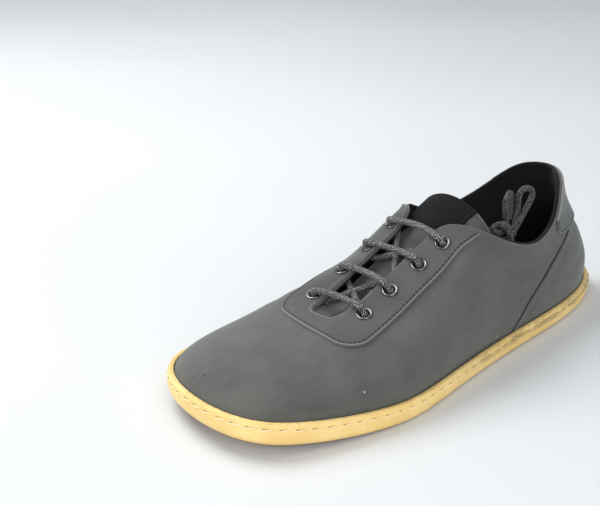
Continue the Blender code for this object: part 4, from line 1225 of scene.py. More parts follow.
# Plate of an overlay with rounded edges, lighter along them by rubbing and a painted highlight, and a trough
# for its stitches with painted shade along it
def overlay_plate(name, around, reach, middle, thickness, finish):
    grid, near, far = overlay_surface(around, reach, middle)
    run = run_along(skin(around[:, None], grid)[:, grid.shape[1] // 2])
    end = np.minimum(run, run[-1] - run)[:, None]
    shape = edge_round(near, OVERLAY_EDGE) * edge_round(far, OVERLAY_EDGE) * edge_round(end, OVERLAY_EDGE)
    bead = BEAD_HEIGHT * hump(far, BEAD_INSET, 0.0003)
    trough = STITCH_TROUGH * hump(far, STITCH_INSET, 0.00045)
    height = (OVERLAY_GAP + thickness * (EDGE_SHARE + (1.0 - EDGE_SHARE) * shape)
              + (bead - trough) * edge_round(end, OVERLAY_FADE))
    outside = skin(around[:, None], grid, height)
    inside = skin(around[:, None], grid, OVERLAY_GAP - OVERLAY_LAP)
    # Edges lighter by rubbing and by a painted highlight of the edge catching light; painted shade along the
    # stitch trough
    wear = np.clip(0.90 * hump(far, 0.0003, 0.0003) + 0.75 * hump(near, 0.0001, 0.0003), 0.0, 1.0)
    marks = {"wear": wear, "gloom": 0.12 * hump(far, STITCH_INSET, 0.0005)}
    return make_plate(name, outside, inside, [finish], marks)


# Shares of the way up where the facing ends, and where a line inside its edge runs
def facing_reach(around, inset):
    shares = np.linspace(*FACING_SEARCH, FINE_STEPS)
    outside = outside_facing(upper_face(around[:, None], shares[None, :]))
    return np.array([np.interp(-inset, row, shares) for row in outside])


# Values along the facing, with its ends left off by a number of sections
def facing_columns(count, trim):
    first, last = at_section(FACING_FIRST + trim), at_section(FACING_LAST - trim)
    return spread_columns(first, last, count, FACING_WEIGHT)


def build_facing_skin(finish):
    around = facing_columns(FACING_COLUMNS, 0.0)
    reach = facing_reach(around, 0.0)
    return overlay_plate("lace_facing_skin", around, reach, FACING_MIDDLE, FACING_THICKNESS, finish)


# Running values along the heel tab, and the shares of the way up of its edge or of a line inside it
def tab_columns(count, trim_inner, trim_outer, inset):
    numbers = np.linspace(TAB_DEPTH[0][0] + trim_inner, TAB_DEPTH[-1][0] - trim_outer, count)
    around = at_section(numbers)
    return around, share_below_edge(around, smooth_depths(TAB_DEPTH, numbers) - inset)


def build_tab_skin(finish):
    around, reach = tab_columns(TAB_COLUMNS, 0.0, 0.0, 0.0)
    return overlay_plate("heel_tab_skin", around, reach, TAB_MIDDLE, TAB_THICKNESS, finish)


# Distance of grid points from the rim of their sheet, and how far they lie across and along it
def rim_distance(grid):
    down = np.cumsum(np.linalg.norm(np.diff(grid, axis=0, prepend=grid[:1]), axis=2), axis=0)
    over = np.cumsum(np.linalg.norm(np.diff(grid, axis=1, prepend=grid[:, :1]), axis=2), axis=1)
    return np.minimum.reduce([down, down[-1:] - down, over, over[:, -1:] - over]), over, down


def dense_ends(count, power):
    even = np.linspace(-1.0, 1.0, count)
    return np.sign(even) * (1.0 - (1.0 - np.abs(even)) ** power)


# Plate that follows the tongue, between two drops below its top face
def tongue_plate(name, stations, across, top, under, finish, marks, spread=None):
    faces = [tongue_face(stations, across, drop[..., None]) for drop in (top, under)]
    return make_plate(name, *faces, [finish], marks, spread)


def build_tongue_skin(finish):
    stations = np.linspace(0.0, len(TONGUE) - 1, TONGUE_ROWS)
    across = dense_ends(TONGUE_COLUMNS, 1.5)
    gap = rim_distance(tongue_face(stations, across, 0.0))[0]
    half = TONGUE_THICKNESS * HALF
    shape = edge_round(gap, half)
    top = half * (1.0 - shape) + TONGUE_TROUGH * hump(gap, TONGUE_SEAM, 0.0005)
    under = half * (1.0 + shape)
    # Lighter edge by the wear mark; painted shade along the seam furrow
    marks = {"wear": 0.5 * hump(gap, 0.0004, 0.0007), "gloom": 0.3 * hump(gap, TONGUE_SEAM, 0.0004)}
    return tongue_plate("tongue_skin", stations, across, top, under, finish, marks)


# Leather sewn between the tongue and the inner edge of the throat, highest at the toe end
def build_gusset(finish):
    stations = np.linspace(0.0, GUSSET_END, GUSSET_POINTS[0])
    across = np.linspace(-1.0, GUSSET_SIDE, GUSSET_POINTS[1])
    share = smooth_step(np.clip((GUSSET_SIDE - across) / GUSSET_RAMP, 0.0, 1.0))
    rise = GUSSET_LIFT * share[None, :] * (1.0 - (stations[:, None] / GUSSET_END) ** 1.5)
    gap = rim_distance(tongue_face(stations, across, 0.0))[0]
    top = -(rise + GUSSET_WALL * edge_round(gap, GUSSET_EDGE))
    marks = {"wear": 0.0 * gap, "gloom": 0.0 * gap}
    return tongue_plate("tongue_gusset", stations, across, top, OVERLAY_LAP - rise, finish, marks)


# Thin cloth with its edges drawn down and a low furrow inside them
def build_label_skin(finish):
    stations = np.linspace(*LABEL_STATIONS, LABEL_ROWS)
    across = np.linspace(*LABEL_SIDES, LABEL_COLUMNS)
    gap, over, down = rim_distance(tongue_face(stations, across, -FIT_GAP))
    pull = LABEL_FURROW * hump(gap, 0.0014, 0.0005)
    top = -FIT_GAP - LABEL_THICKNESS * (0.3 + 0.7 * edge_round(gap, LABEL_EDGE)) + pull
    under = 0.0 * gap - FIT_GAP + LABEL_SINK
    marks = {"wear": 0.0 * gap}
    spread = (down[:, LABEL_COLUMNS // 2], over[LABEL_ROWS // 2])
    return tongue_plate("tongue_label_cloth", stations, across, top, under, finish, marks, spread)


# Corner rounding of a chain of points
def rounded_chain(points, times):
    for _ in range(times):
        inner = np.empty((2 * (len(points) - 1), 2))
        inner[0::2] = 0.75 * points[:-1] + 0.25 * points[1:]
        inner[1::2] = 0.25 * points[:-1] + 0.75 * points[1:]
        points = np.concatenate([points[:1], inner, points[-1:]])
    return points


# Side of the cup from the tread to its floor: inset from the outline, height
def cup_profile():
    groove = SOLE_WALL * STITCH_HEIGHT
    slope = SOLE_WALL * GROOVE_SLOPE
    half = SOLE_WALL * GROOVE_HALF
    low, high = [[(inset * CUP_THICKNESS, height * SOLE_WALL) for inset, height in table]
                 for table in (CUP_LOW, CUP_HIGH)]
    groove_rows = [(0.0, groove - slope), (GROOVE_DEPTH, groove - half), (GROOVE_DEPTH, groove + half),
                   (GROOVE_DEPTH * GROOVE_TOP, groove + slope)]
    rows = [(low[0][0] * TREAD_EDGE, LUG_HEIGHT)] + low + groove_rows + high + [(CUP_THICKNESS, SOLE_FLOOR)]
    return rounded_chain(np.array(rows), 2)


# Extra height of the sole's side round the ball and toes
def ball_rise(values, height):
    y = OUTLINE_CURVE(values)[:, 1]
    share = smooth_step(np.clip((HALF_LENGTH - y) / LENGTH / BALL_RISE_START - 1.0, 0.0, 1.0))
    return BALL_RISE * share * np.clip(height / SOLE_WALL, 0.0, 1.0)


# Running values spread evenly round the sole
def loop_values(count):
    return np.linspace(0.0, OUTLINE_LENGTH, count, endpoint=False)


# Outer and inner side of the cup with its floor and underside; the mark says how high a point lies
def build_sole_skin(finish):
    values = loop_values(SOLE_COLUMNS)
    profile = cup_profile()
    rings = np.stack([ring(values, inset, lift) for inset, lift in profile])
    for loop, (inset, lift) in zip(rings, profile):
        if lift > SOLE_FLOOR * 1.05 or inset < CUP_THICKNESS * 0.9:
            loop[:, 2] += ball_rise(values, lift)
    heights = np.repeat(profile[:, 1:] / SOLE_WALL, SOLE_COLUMNS, axis=1)
    lip = hump(profile[:, 1] / SOLE_WALL, 1.0, 0.07)[:, None]
    ragged = np.sin(values * 900.0) * np.sin(values * 371.0) + 0.6 * np.sin(values * 1730.0)
    rings[..., 2] += lip * ragged * LIP_WAVE
    rows, columns = rings.shape[:2]
    faces = grid_quads(rows, columns, False, True).tolist()
    vertices = rings.reshape(-1, 3)
    middle = []
    for edge in (0, rows - 1):
        centre = rings[edge].mean(0)
        shrink = [centre * share + rings[edge] * (1.0 - share) for share in (0.35, 0.7)]
        for loop in shrink:
            loop[:, 2] = underside(loop[:, 1]) + profile[edge, 1]
        start = len(vertices)
        hub = np.array([[centre[0], centre[1], underside(centre[1]) + profile[edge, 1]]])
        vertices = np.concatenate([vertices, shrink[0], shrink[1], hub])
        outer = edge * columns + np.arange(columns)
        first, second = start + np.arange(columns), start + columns + np.arange(columns)
        for near, far in ((outer, first), (first, second)):
            faces += np.stack([near, np.roll(near, -1), np.roll(far, -1), far], -1).tolist()
        faces += np.stack([second, np.roll(second, -1), np.full(columns, start + 2 * columns)], -1).tolist()
        middle.append(np.full(2 * columns + 1, profile[edge, 1] / SOLE_WALL))
    marks = {"rise": np.concatenate([heights.ravel()] + middle)}
    return make_piece("gum_cup", vertices, faces, [finish], None, marks)


# Twelve points round a block with four corners, drawn in from its plan by an inset
def block_loop(plan, inward, inset):
    corners = plan + inward * inset
    loop = []
    for k in range(4):
        before, here, after = corners[k - 1], corners[k], corners[(k + 1) % 4]
        long_cut, short_cut = LUG_CUT
        loop += [here + (before - here) * long_cut,
                 here + (before - here) * short_cut + (after - here) * short_cut,
                 here + (after - here) * long_cut]
    return np.array(loop)


# Tread blocks in rows across the flat part of the underside, with eased edges
def build_tread(finish):
    pitch = LUG_LENGTH + LUG_GAP
    vertices, faces = [], []
    dense = np.linspace(0.0, 1.0, FINE_STEPS)
    outer = outline_inset(TOE_KNOT * dense, LUG_INSET)
    inner = outline_inset(OUTLINE_LENGTH - (OUTLINE_LENGTH - TOE_KNOT) * dense, LUG_INSET)
    for row in range(int((TREAD_END - TREAD_START) * LENGTH / pitch)):
        back = HALF_LENGTH - TREAD_START * LENGTH - row * pitch
        ends = (back, back - LUG_LENGTH)
        spans = [[np.interp(-y, -side[:, 1], side[:, 0]) for side in (inner, outer)] for y in ends]
        blocks = LUG_BLOCKS[row % 2]
        gap = LUG_GAP * HALF
        for block in range(blocks):
            plan = []
            for i, j in ((0, 0), (1, 0), (1, 1), (0, 1)):
                low, high = spans[j]
                x = low + (high - low) * (block + i) / blocks + (gap if i == 0 else -gap)
                plan.append((x, ends[j]))
            plan = np.array(plan)
            inward = unit(plan.mean(0) - plan)
            faces += tube_faces(3, 12, len(vertices))
            for inset, height in ((0.0, LUG_HEIGHT + LUG_ROOT), (0.0, LUG_EASE), (LUG_EASE * 1.4, 0.0)):
                loop = block_loop(plan, inward, inset + LUG_CORNER)
                vertices += list(np.column_stack([loop, np.full(len(loop), height)]))
    return make_piece("gum_tread", vertices, faces, [finish], None, {"rise": np.zeros(len(vertices))})


# Insole with rounded edges and a slightly dished top
def build_footbed(finish):
    values = loop_values(SOLE_COLUMNS // 2)
    inset = UPPER_INSET + UPPER_WALL + 2.0 * FIT_GAP
    low = SOLE_FLOOR + FIT_GAP
    high = low + INSOLE_THICKNESS
    profile = [(inset, low)]
    for turn in np.linspace(0.0, math.pi * HALF, 6):
        profile.append((inset + FOOTBED_EDGE * (1.0 - math.cos(turn)),
                        high - FOOTBED_EDGE * (1.0 - math.sin(turn))))
    rings = [ring(values, *row) for row in profile]
    top = rings[-1]
    middle = HALF * (OUTLINE_CURVE(values)[:, 0] + OUTLINE_CURVE(OUTLINE_LENGTH - values)[:, 0])
    spine = np.column_stack([middle * HALF, top[:, 1], top[:, 2]])
    for share in FOOTBED_RINGS:
        loop = top * (1.0 - share) + spine * share
        loop[:, 1] = top[:, 1] * (1.0 - share * 0.6)
        loop[:, 2] = underside(loop[:, 1]) + high - FOOTBED_DISH * math.sin(math.pi * share)
        rings.append(loop)
    faces = tube_faces(len(rings), len(values))
    return make_piece("footbed_cloth", np.concatenate(rings), faces, [finish])


# Round cord along a route, with the low swells of a braid along it
def cord_piece(name, route, diameter, finish, closed=False):
    run = route_frames(route)[0][:, None]
    turn = np.linspace(0.0, 2.0 * math.pi, CORD_SIDES, endpoint=False)
    swell = np.maximum(np.sin(BRAID_STRANDS * turn + run * BRAID_TWIST),
                       np.sin(BRAID_STRANDS * turn - run * BRAID_TWIST))
    radius = diameter * HALF * (1.0 - BRAID_RELIEF + BRAID_RELIEF * swell)
    section = np.stack([radius * np.cos(turn), radius * np.sin(turn)], -1)
    return sweep(name, route, section, [finish], None, closed)


# Smooth route through a few points, with even steps
def fine_route(points):
    points = np.asarray(points, float)
    dense = open_curve(points, np.linspace(0.0, len(points) - 1, 40 * len(points)))
    run = run_along(dense)
    return read_at(np.linspace(0.0, run[-1], int(run[-1] / CORD_STEP) + 1), run, dense)


# Lace over the throat from the inner eyelet of a row to the outer one
def bar_points(row):
    outer_spot, outer_up = EYELET_SPOTS[row]
    inner_spot, inner_up = EYELET_SPOTS[row + len(EYELETS)]
    middle = (outer_spot + inner_spot) * HALF
    reach = unit(outer_spot - inner_spot)
    ends = []
    for spot, normal, inward in ((inner_spot, inner_up, reach), (outer_spot, outer_up, -reach)):
        inward = unit(inward - normal * np.dot(inward, normal))
        ends.append([spot + normal * height + inward * shift for height, shift in BAR_TURN])
    over = [middle + reach * shift + UP * BAR_RISE for shift in (-BAR_FLAT, BAR_FLAT)]
    return ends[0] + over + ends[1][::-1]


# Lace under the facing from one eyelet to another
def strand_points(first_side, first_row, second_side, second_row, rise):
    first, first_up = EYELET_SPOTS[first_side * len(EYELETS) + first_row]
    second, second_up = EYELET_SPOTS[second_side * len(EYELETS) + second_row]
    start, end = first - first_up * CROSSING_DEPTH, second - second_up * CROSSING_DEPTH
    middle = (start + end) * HALF + UP * rise
    low = UP * rise * (CROSSING_RISE - HALF)
    return [start, (start + middle) * HALF + low, middle, (middle + end) * HALF + low, end]


# Whole way of the lace through the eyelets, over and under in turn, back to its start
def lace_circuit():
    strands = {}
    for row in CROSSINGS:
        points = strand_points(*row)
        strands[row[:2]] = (points, row[2:4])
        strands[row[2:4]] = (points[::-1], row[:2])
    side, row = 1, 0
    route = []
    for _ in range(len(EYELETS)):
        route += bar_points(row)[::-1] if side == 0 else bar_points(row)
        under, (side, row) = strands[1 - side, row]
        route += under
    return np.array(route + route[:1])


# Geometry tree under construction: its sizes are named inputs, its copies end up as one plain mesh
class Growth:
    def __init__(self, name, *sizes):
        self.tree = bpy.data.node_groups.new(name, "GeometryNodeTree")
        given = [("Geometry", "Geometry")] + [(size, "Float") for size in sizes] + [("Material", "Material")]
        for (label, kind), way in [(row, "INPUT") for row in given] + [(given[0], "OUTPUT")]:
            self.tree.interface.new_socket(label, in_out=way, socket_type="NodeSocket" + kind)
        self.given = self.tree.nodes.new("NodeGroupInput").outputs
        self.output = self.tree.nodes.new("NodeGroupOutput")

    def node(self, kind, values=None, **settings):
        return add_node(self.tree, kind, values, **settings).outputs[0]

    def maths(self, operation, first, second):
        return self.node("ShaderNodeMath", {0: first, 1: second}, operation=operation)

    def vector(self, **parts):
        return self.node("ShaderNodeCombineXYZ", parts)

    def circle(self, sides, radius):
        return self.node("GeometryNodeCurvePrimitiveCircle", {"Resolution": sides, "Radius": radius})

    def swept(self, line, section, capped=False):
        values = {"Curve": line, "Profile Curve": section, "Fill Caps": capped}
        return self.node("GeometryNodeCurveToMesh", values)

    def moved(self, geometry, shift):
        return self.node("GeometryNodeTransform", {"Geometry": geometry, "Translation": shift})

    def random(self, low, high, seed):
        return self.node("FunctionNodeRandomValue", {"Min": low, "Max": high, "Seed": seed},
                         data_type="FLOAT_VECTOR")

    # Direction away from the surface, which the points carry
    def lift(self):
        return add_node(self.tree, "GeometryNodeInputNamedAttribute", {"Name": "lift"},
                        data_type="FLOAT_VECTOR").outputs["Attribute"]

    # Puts a copy of a shape at every point, makes the copies real and gives them their material
    def close(self, points, shape, turn, scale=(1.0, 1.0, 1.0)):
        made = self.node("GeometryNodeInstanceOnPoints",
                         {"Points": points, "Instance": shape, "Rotation": turn, "Scale": scale})
        made = self.node("GeometryNodeRealizeInstances", {0: made})
        made = self.node("GeometryNodeSetShadeSmooth", {0: made})
        made = self.node("GeometryNodeSetMaterial", {"Geometry": made, "Material": self.given["Material"]})
        self.tree.links.new(made, self.output.inputs[0])
        return self.tree


# Bowed stitches along a line, each turned along it and away from the surface
def stitch_tree():
    growth = Growth("stitches", "Pitch", "Length", "Thread", "Bow", "Slant")
    given = growth.given
    line = growth.node("GeometryNodeMeshToCurve", {0: given["Geometry"]})
    spaced = growth.node("GeometryNodeResampleCurve", {"Curve": line, "Length": given["Pitch"]},
                         mode="LENGTH")
    half = growth.maths("MULTIPLY", given["Length"], HALF)
    back = growth.maths("MULTIPLY", half, -1.0)
    sunk = growth.maths("MULTIPLY", given["Thread"], -1.6)
    left = growth.maths("MULTIPLY", given["Slant"], -1.0)
    bow = growth.node("GeometryNodeCurveQuadraticBezier",
                      {"Resolution": 6, "Start": growth.vector(X=back, Y=left, Z=sunk),
                       "Middle": growth.vector(Z=given["Bow"]),
                       "End": growth.vector(X=half, Y=given["Slant"], Z=sunk)})
    stitch = growth.swept(bow, growth.circle(7, given["Thread"]), True)
    along = growth.node("FunctionNodeAlignRotationToVector",
                        {"Vector": growth.node("GeometryNodeInputTangent")}, axis="X")
    turn = growth.node("FunctionNodeAlignRotationToVector", {"Rotation": along, "Vector": growth.lift()},
                       axis="Z", pivot_axis="X")
    return growth.close(spaced, stitch, turn, growth.random((0.92, 0.92, 0.92), (1.05, 1.08, 1.08), 7))


# Rolled rim with a barrel under it, at every point and square to the surface
def eyelet_tree():
    growth = Growth("eyelets", "Rim Radius", "Roll Width", "Roll Height", "Bore Radius", "Barrel Wall",
                    "Barrel Length", "Seat")
    given = growth.given
    sizes = growth.vector(X=given["Roll Width"], Y=given["Roll Height"], Z=1.0)
    oval = growth.node("GeometryNodeTransform", {"Geometry": growth.circle(14, 1.0), "Scale": sizes})
    roll = growth.swept(growth.circle(48, given["Rim Radius"]), oval)
    seated = growth.moved(roll, growth.vector(Z=given["Seat"]))
    middle = growth.maths("ADD", given["Bore Radius"], growth.maths("MULTIPLY", given["Barrel Wall"], HALF))
    wall = growth.node("GeometryNodeCurvePrimitiveQuadrilateral",
                       {"Width": given["Barrel Wall"], "Height": given["Barrel Length"]})
    drop = growth.maths("MULTIPLY", given["Barrel Length"], -HALF)
    foot = growth.maths("ADD", drop, given["Seat"])
    barrel = growth.moved(growth.swept(growth.circle(36, middle), wall), growth.vector(Z=foot))
    whole = add_node(growth.tree, "GeometryNodeJoinGeometry")
    for part in (seated, barrel):
        growth.tree.links.new(part, whole.inputs[0])
    turn = growth.node("FunctionNodeAlignRotationToVector", {"Vector": growth.lift()}, axis="Z")
    return growth.close(given["Geometry"], whole.outputs[0], turn)


# Short hairs spread over a surface, each tilted its own way
def fuzz_tree():
    growth = Growth("fuzz", "Density", "Length", "Thickness")
    given = growth.given
    spread = add_node(growth.tree, "GeometryNodeDistributePointsOnFaces",
                      {"Mesh": given["Geometry"], "Density": given["Density"], "Seed": 11}).outputs
    hair = growth.node("GeometryNodeMeshCone",
                       {"Vertices": 3, "Side Segments": 1, "Fill Segments": 1, "Radius Top": 0.0,
                        "Radius Bottom": given["Thickness"], "Depth": given["Length"]})
    tilt = growth.random((-0.9, -0.9, -3.0), (0.9, 0.9, 3.0), 23)
    bent = growth.node("FunctionNodeEulerToRotation", {0: tilt})
    turn = growth.node("FunctionNodeRotateRotation", {"Rotation": spread["Rotation"], "Rotate By": bent},
                       rotation_space="LOCAL")
    return growth.close(spread["Points"], hair, turn, growth.random((0.6, 0.6, 0.4), (1.2, 1.2, 1.5), 31))


# Runs a tree on a carrier mesh and keeps the result as a plain piece
def grow(name, carrier, tree, values):
    step = carrier.modifiers.new("grow", "NODES")
    step.node_group = tree
    for item in tree.interface.items_tree:
        if item.in_out == "INPUT" and item.name in values:
            step[item.identifier] = values[item.name]
    mesh = baked(carrier)
    mesh.name = name
    bpy.data.objects.remove(carrier, do_unlink=True)
    return new_object(name, mesh)


# Line of points that carries the outward direction at each of them
def carrier_line(name, route, lifts, edges):
    mesh = bpy.data.meshes.new(name)
    mesh.from_pydata(np.asarray(route).tolist(), edges, [])
    attribute = mesh.attributes.new("lift", "FLOAT_VECTOR", "POINT")
    attribute.data.foreach_set("vector", np.asarray(lifts, np.float32).ravel())
    return new_object(name, mesh)


def chain_edges(count, closed=False):
    return [(k, k + 1) for k in range(count - 1)] + ([(count - 1, 0)] if closed else [])


# Sewn line: stitches along a route, and in the middle of each gap between them a small dark mark of painted
# shade for the needle hole
def sew(name, slot, route, lifts, finishes, pitch, length, radius, bow, hole, slant=0.0, closed=False):
    run = run_along(route)
    even = np.linspace(pitch * HALF, run[-1] - (0.0 if closed else pitch * HALF), len(route))
    between = read_at(even, run, np.column_stack([route, lifts]))
    rows = [(name, route, lifts, closed, length, radius, bow, slant),
            (name + "_holes", between[:, :3], between[:, 3:], False, hole * 3.0, hole, hole * 1.2, 0.0)]
    for (label, spots, ups, loop, *sizes), finish in zip(rows, finishes):
        values = dict(zip(("Length", "Thread", "Bow", "Slant"), sizes), Pitch=pitch, Material=finish)
        line = carrier_line(label + "_line", spots, ups, chain_edges(len(spots), loop))
        dress(grow(label, line, STITCHES, values), slot)


def aim(thing, direction):
    thing.rotation_mode = "QUATERNION"
    thing.rotation_quaternion = direction.to_track_quat("-Z", "Y")


def make_camera():
    turn, rise = math.radians(CAMERA_TURN), math.radians(CAMERA_RISE)
    back = Vector((math.sin(turn) * math.cos(rise), -math.cos(turn) * math.cos(rise), math.sin(rise)))
    data = bpy.data.cameras.new("camera")
    data.lens = CAMERA_LENS
    data.sensor_width = CAMERA_SENSOR
    data.clip_start = CAMERA_NEAR
    camera = new_object("camera", data)
    camera.location = Vector(CAMERA_TARGET) + back * CAMERA_DISTANCE
    aim(camera, -back)
    bpy.context.scene.camera = camera


def make_light(name, spot, target, size, energy, colour):
    data = bpy.data.lights.new(name, "AREA")
    data.shape = "DISK"
    data.size = size
    data.energy = energy
    data.color = colour
    light = new_object(name, data)
    light.location = spot
    aim(light, Vector(target) - Vector(spot))


def make_studio():
    world = bpy.data.worlds.new("studio")
    bpy.context.scene.world = world
    world.use_nodes = True
    sky = world.node_tree.nodes["Background"]
    sky.inputs["Color"].default_value = SKY_COLOUR
    sky.inputs["Strength"].default_value = SKY_STRENGTH
    for lamp in LAMPS:
        make_light(*lamp)
    steps = np.linspace(-FLOOR_REACH, FLOOR_REACH, FLOOR_POINTS)
    x, y = np.meshgrid(steps, steps, indexing="ij")
    floor = make_piece("floor", np.stack([x, y, np.zeros_like(x)], -1).reshape(-1, 3),
                       grid_quads(FLOOR_POINTS, FLOOR_POINTS), [floor_finish()])
    if floor.data.polygons[0].normal.z < 0.0:
        floor.data.flip_normals()
    bpy.context.scene.view_settings.view_transform = "Standard"


make_camera()
LACE = braid("lace_braid", (0.010, 0.010, 0.011), (0.085, 0.082, 0.087), (0.55, 0.53, 0.54))
# Darker copy of the lace braid for the loops and knot behind the tongue: painted shade
SHADED_LACE = braid("lace_braid_painted_shade", (0.003, 0.003, 0.003), (0.016, 0.015, 0.017), (0.30, 0.29, 0.30))
for end_name, table, node in (("lace_end_outer", LOOP_OUTER, "lace_loop_outer"),
                              ("lace_end_inner", LOOP_INNER, "lace_loop_inner")):
    way = fine_route(placed(table))
    end = cord_piece(end_name, way, LACE_DIAMETER, SHADED_LACE)
    dress(end, "lace_cotton", node)
knot_way = fine_route(knot_route())
knot = dress(cord_piece("lace_knot_wrap", knot_way, LACE_DIAMETER, SHADED_LACE), "lace_cotton", "lace_knot")

circuit = fine_route(lace_circuit())
dress(cord_piece("lace_through_eyelets", circuit[:-1], LACE_DIAMETER, LACE, True), "lace_cotton",
      "lace_bar_1", "lace_bar_2", "lace_bar_3", "lace_bar_4", "lace_crossings")

NUBUCK = nubuck("grey_nubuck_skin", (0.102, 0.103, 0.095), (0.21, 0.212, 0.205), True)
# Darker copy of the grey nubuck for the facing and heel tab, to offset the extra light they catch: painted
# shade
FACING_NUBUCK = nubuck("facing_nubuck_skin", (0.084, 0.085, 0.081), (0.26, 0.26, 0.25))
TONGUE_LEATHER = nubuck("tongue_leather_skin", (0.088, 0.090, 0.088), (0.25, 0.25, 0.24))
# Black lining, made darker than the cloth itself to stand in also for the shade inside the shoe: partly its
# own colour, partly painted shade
LINING = cloth("black_lining", (0.0035, 0.0035, 0.0038), (0.016, 0.016, 0.017), 0.0, 0.10)
LABEL = cloth("black_label", (0.004, 0.004, 0.0045), (0.018, 0.019, 0.020), 640.0, 0.06)
FOOTBED = cloth("footbed_cover", (0.006, 0.006, 0.006), (0.018, 0.018, 0.018), 0.0, 0.10)
GUM = gum_rubber()
METAL = gunmetal()
FACING_THREAD = thread("facing_thread", (0.045, 0.045, 0.043), (0.085, 0.085, 0.082))
GREY_THREAD = thread("grey_thread", (0.014, 0.014, 0.013), (0.030, 0.030, 0.029))
EDGE_THREAD = thread("throat_thread", (0.17, 0.17, 0.16), (0.36, 0.36, 0.34))
PALE_THREAD = thread("pale_thread", (0.88, 0.68, 0.34), (1.0, 0.86, 0.52), (0.56, 0.42, 0.17))
# Near-black marks at the needle holes and along the seam gap: painted shade
HOLE_AND_SEAM_SHADE = thread("hole_and_seam_shade", (0.006, 0.006, 0.006), (0.012, 0.012, 0.012))
# Dark olive marks in the needle pits of the sole: painted shade
GUM_HOLE_SHADE = thread("gum_hole_shade", (0.24, 0.16, 0.05), (0.32, 0.21, 0.07), (0.42, 0.32, 0.13))
STITCHES = stitch_tree()

pins = build_hole_pins()
dress(cut_holes(build_upper_skin(NUBUCK, LINING), pins), "grey_nubuck", "upper")
dress(cut_holes(build_facing_skin(FACING_NUBUCK), pins), "facing_nubuck", "lace_facing")
bpy.data.objects.remove(pins, do_unlink=True)
dress(build_tab_skin(FACING_NUBUCK), "heel_tab_nubuck", "heel_tab")
dress(build_tongue_skin(TONGUE_LEATHER), "tongue_leather", "tongue")
dress(build_gusset(TONGUE_LEATHER), "tongue_leather")
dress(build_label_skin(LABEL), "label_cloth", "tongue_label")
dress(build_sole_skin(GUM), "gum_rubber", "outsole")
dress(build_tread(GUM), "gum_rubber")
dress(build_footbed(FOOTBED), "insole_cloth", "insole")

# Eyelets
centres = carrier_line("eyelet_centres", *zip(*EYELET_SPOTS), chain_edges(len(EYELET_SPOTS)))
eyelets = grow("eyelet_set", centres, eyelet_tree(), {
    "Rim Radius": EYELET_DIAMETER * HALF - RIM_INSET, "Roll Width": 0.00062, "Roll Height": 0.00045,
    "Bore Radius": EYELET_BORE * HALF + BORE_MARGIN, "Barrel Wall": 0.00036, "Barrel Length": 0.0040,
    "Seat": OVERLAY_GAP + FACING_THICKNESS + FIT_GAP + RIM_SEAT, "Material": METAL})
dress(eyelets, "gunmetal",
      *["eyelet_" + side + "_" + str(row) for side in ("outer", "inner") for row in (1, 2, 3, 4)])

# Stitches along the edge of the facing, and round the foot of the throat
around = facing_columns(FINE_STEPS, FACING_TRIM)
line = facing_reach(around, STITCH_INSET)
facing_top = OVERLAY_GAP + FACING_THICKNESS
sew("facing_stitches", "facing_nubuck", skin(around, line, facing_top - STITCH_TROUGH + 0.00008),
    upper_normal(around, line), (FACING_THREAD, HOLE_AND_SEAM_SHADE),
    pitch=0.0026, length=0.0017, radius=0.00018, bow=0.0004, hole=0.00045)
around = spread_columns(*[at_section(number) for number in THROAT_SECTIONS], FINE_STEPS, 1.0)
line = share_below_edge(around, np.full(len(around), THROAT_INSET))
sew("throat_stitches", "facing_nubuck", skin(around, line, facing_top + 0.00002),
    upper_normal(around, line), (EDGE_THREAD, HOLE_AND_SEAM_SHADE),
    pitch=0.0015, length=0.0012, radius=0.00026, bow=0.0006, hole=0.00013, slant=0.0003)

# Stitches of the heel tab
around, line = tab_columns(FINE_STEPS, *TAB_TRIM, STITCH_INSET)
tab_top = OVERLAY_GAP + TAB_THICKNESS
sew("tab_stitches", "heel_tab_nubuck", skin(around, line, tab_top - STITCH_TROUGH + 0.00004),
    upper_normal(around, line), (GREY_THREAD, HOLE_AND_SEAM_SHADE),
    pitch=0.0026, length=0.0013, radius=0.00022, bow=0.0005, hole=0.00012)

# Stitches in the groove of the sole
values = loop_values(4 * FINE_STEPS)
stitch_level = SOLE_WALL * STITCH_HEIGHT
way = ring(values, GROOVE_DEPTH - GROOVE_STANDOFF, stitch_level)
outward = unit(way - ring(values, CUP_THICKNESS, stitch_level))
way[:, 2] += ball_rise(values, stitch_level)
sew("sole_stitches", "gum_rubber", way, outward, (PALE_THREAD, GUM_HOLE_SHADE),
    pitch=0.0076, length=0.0062, radius=0.00040, bow=0.0013, hole=0.00046, slant=0.00045, closed=True)

# Stitches at the ends of the label
stations = np.linspace(LABEL_STATIONS[0] + LABEL_TRIM, LABEL_STATIONS[1] - LABEL_TRIM, FINE_STEPS)
for side_name, label_side in (("inner", LABEL_SIDES[0] + LABEL_INSET),
                              ("outer", LABEL_SIDES[1] - LABEL_INSET)):
    beside = label_side + np.array([-SIDE_STEP, 0.0, SIDE_STEP])
    face = tongue_face(stations, beside, -FIT_GAP - LABEL_THICKNESS)
    way = face[:, 1]
    outward = np.cross(face[:, 2] - face[:, 0], np.gradient(way, axis=0))
    outward = unit(outward * np.sign(outward[:, 2:3]))
    sew("label_stitches_" + side_name, "label_cloth", way, outward, (GREY_THREAD, HOLE_AND_SEAM_SHADE),
        pitch=0.0020, length=0.0014, radius=0.00016, bow=0.0004, hole=0.00013, slant=0.0002)

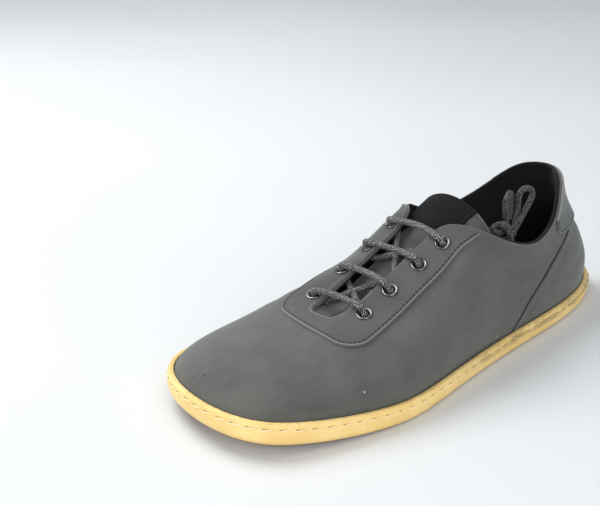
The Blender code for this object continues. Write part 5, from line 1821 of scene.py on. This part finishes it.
# Folded edge beside the seam behind the quarter, darkened next to the seam with painted shade and with a
# faint painted highlight, and a near-black strip along the seam that is painted shadow in its gap.
# Columns of the edge: side, height, wear mark, gloom mark. Columns of the strip: side, height.
QUARTER_EDGE = np.array([
    (0.0002, -0.0003, 0.0, 1.0),
    (0.0002, 0.00003, 0.0, 0.9),
    (0.0005, 0.00005, 0.05, 0.2),
    (0.0009, 0.00005, 0.0, 0.0),
    (0.0016, 0.00004, 0.0, 0.0),
    (0.0030, 0.00002, 0.0, 0.0),
    (0.0036, -0.0003, 0.0, 0.0),
])
SEAM_SHADOW_STRIP = [
    (-0.0013, -0.0003),
    (-0.0013, 0.00014),
    (-0.0004, 0.00022),
    (0.0006, 0.00020),
    (0.0006, -0.0003),
]
SEAM_POINTS = 220
path = open_curve(np.array(COUNTER_SEAM), np.linspace(0.0, len(COUNTER_SEAM) - 1, SEAM_POINTS))
around, up = at_section(path[:, 0]), np.clip(path[:, 1], 0.0, 1.0)
seam, seam_up = skin(around, up), upper_normal(around, up)
seam_marks = {label: np.tile(QUARTER_EDGE[:, column], SEAM_POINTS)
              for label, column in (("wear", 2), ("gloom", 3))}
dress(sweep("quarter_edge", seam, QUARTER_EDGE[:, :2], [NUBUCK], seam_up, False, seam_marks), "grey_nubuck")
dress(sweep("seam_shadow", seam, SEAM_SHADOW_STRIP, [HOLE_AND_SEAM_SHADE], seam_up), "grey_nubuck")

# Rolled lining at the collar, with its fuzz
first, last = [at_section(number) for number in COLLAR_SECTIONS]
around = spread_columns(first - SECTION_TOTAL, last, COLLAR_POINTS, 1.0)
spot = skin(around, 1.0)
tip = unit(spot - skin(around, COLLAR_TIP))
collar = spot - upper_normal(around, 1.0) * UPPER_WALL * COLLAR_DEPTH + tip * COLLAR_LIFT
turn = np.linspace(0.0, 2.0 * math.pi, COLLAR_SIDES, endpoint=False)
oval = np.column_stack([COLLAR_ROLL[0] * np.cos(turn), COLLAR_ROLL[1] * np.sin(turn)])
roll = dress(sweep("collar_lining", collar, oval, [LINING], tip), "insole_cloth")
fuzz = grow("collar_fuzz", new_object("fuzz_base", roll.data.copy()), fuzz_tree(),
            {"Density": 1.6e6, "Length": 0.0009, "Thickness": 0.00004, "Material": LINING})
dress(fuzz, "insole_cloth")

make_studio()
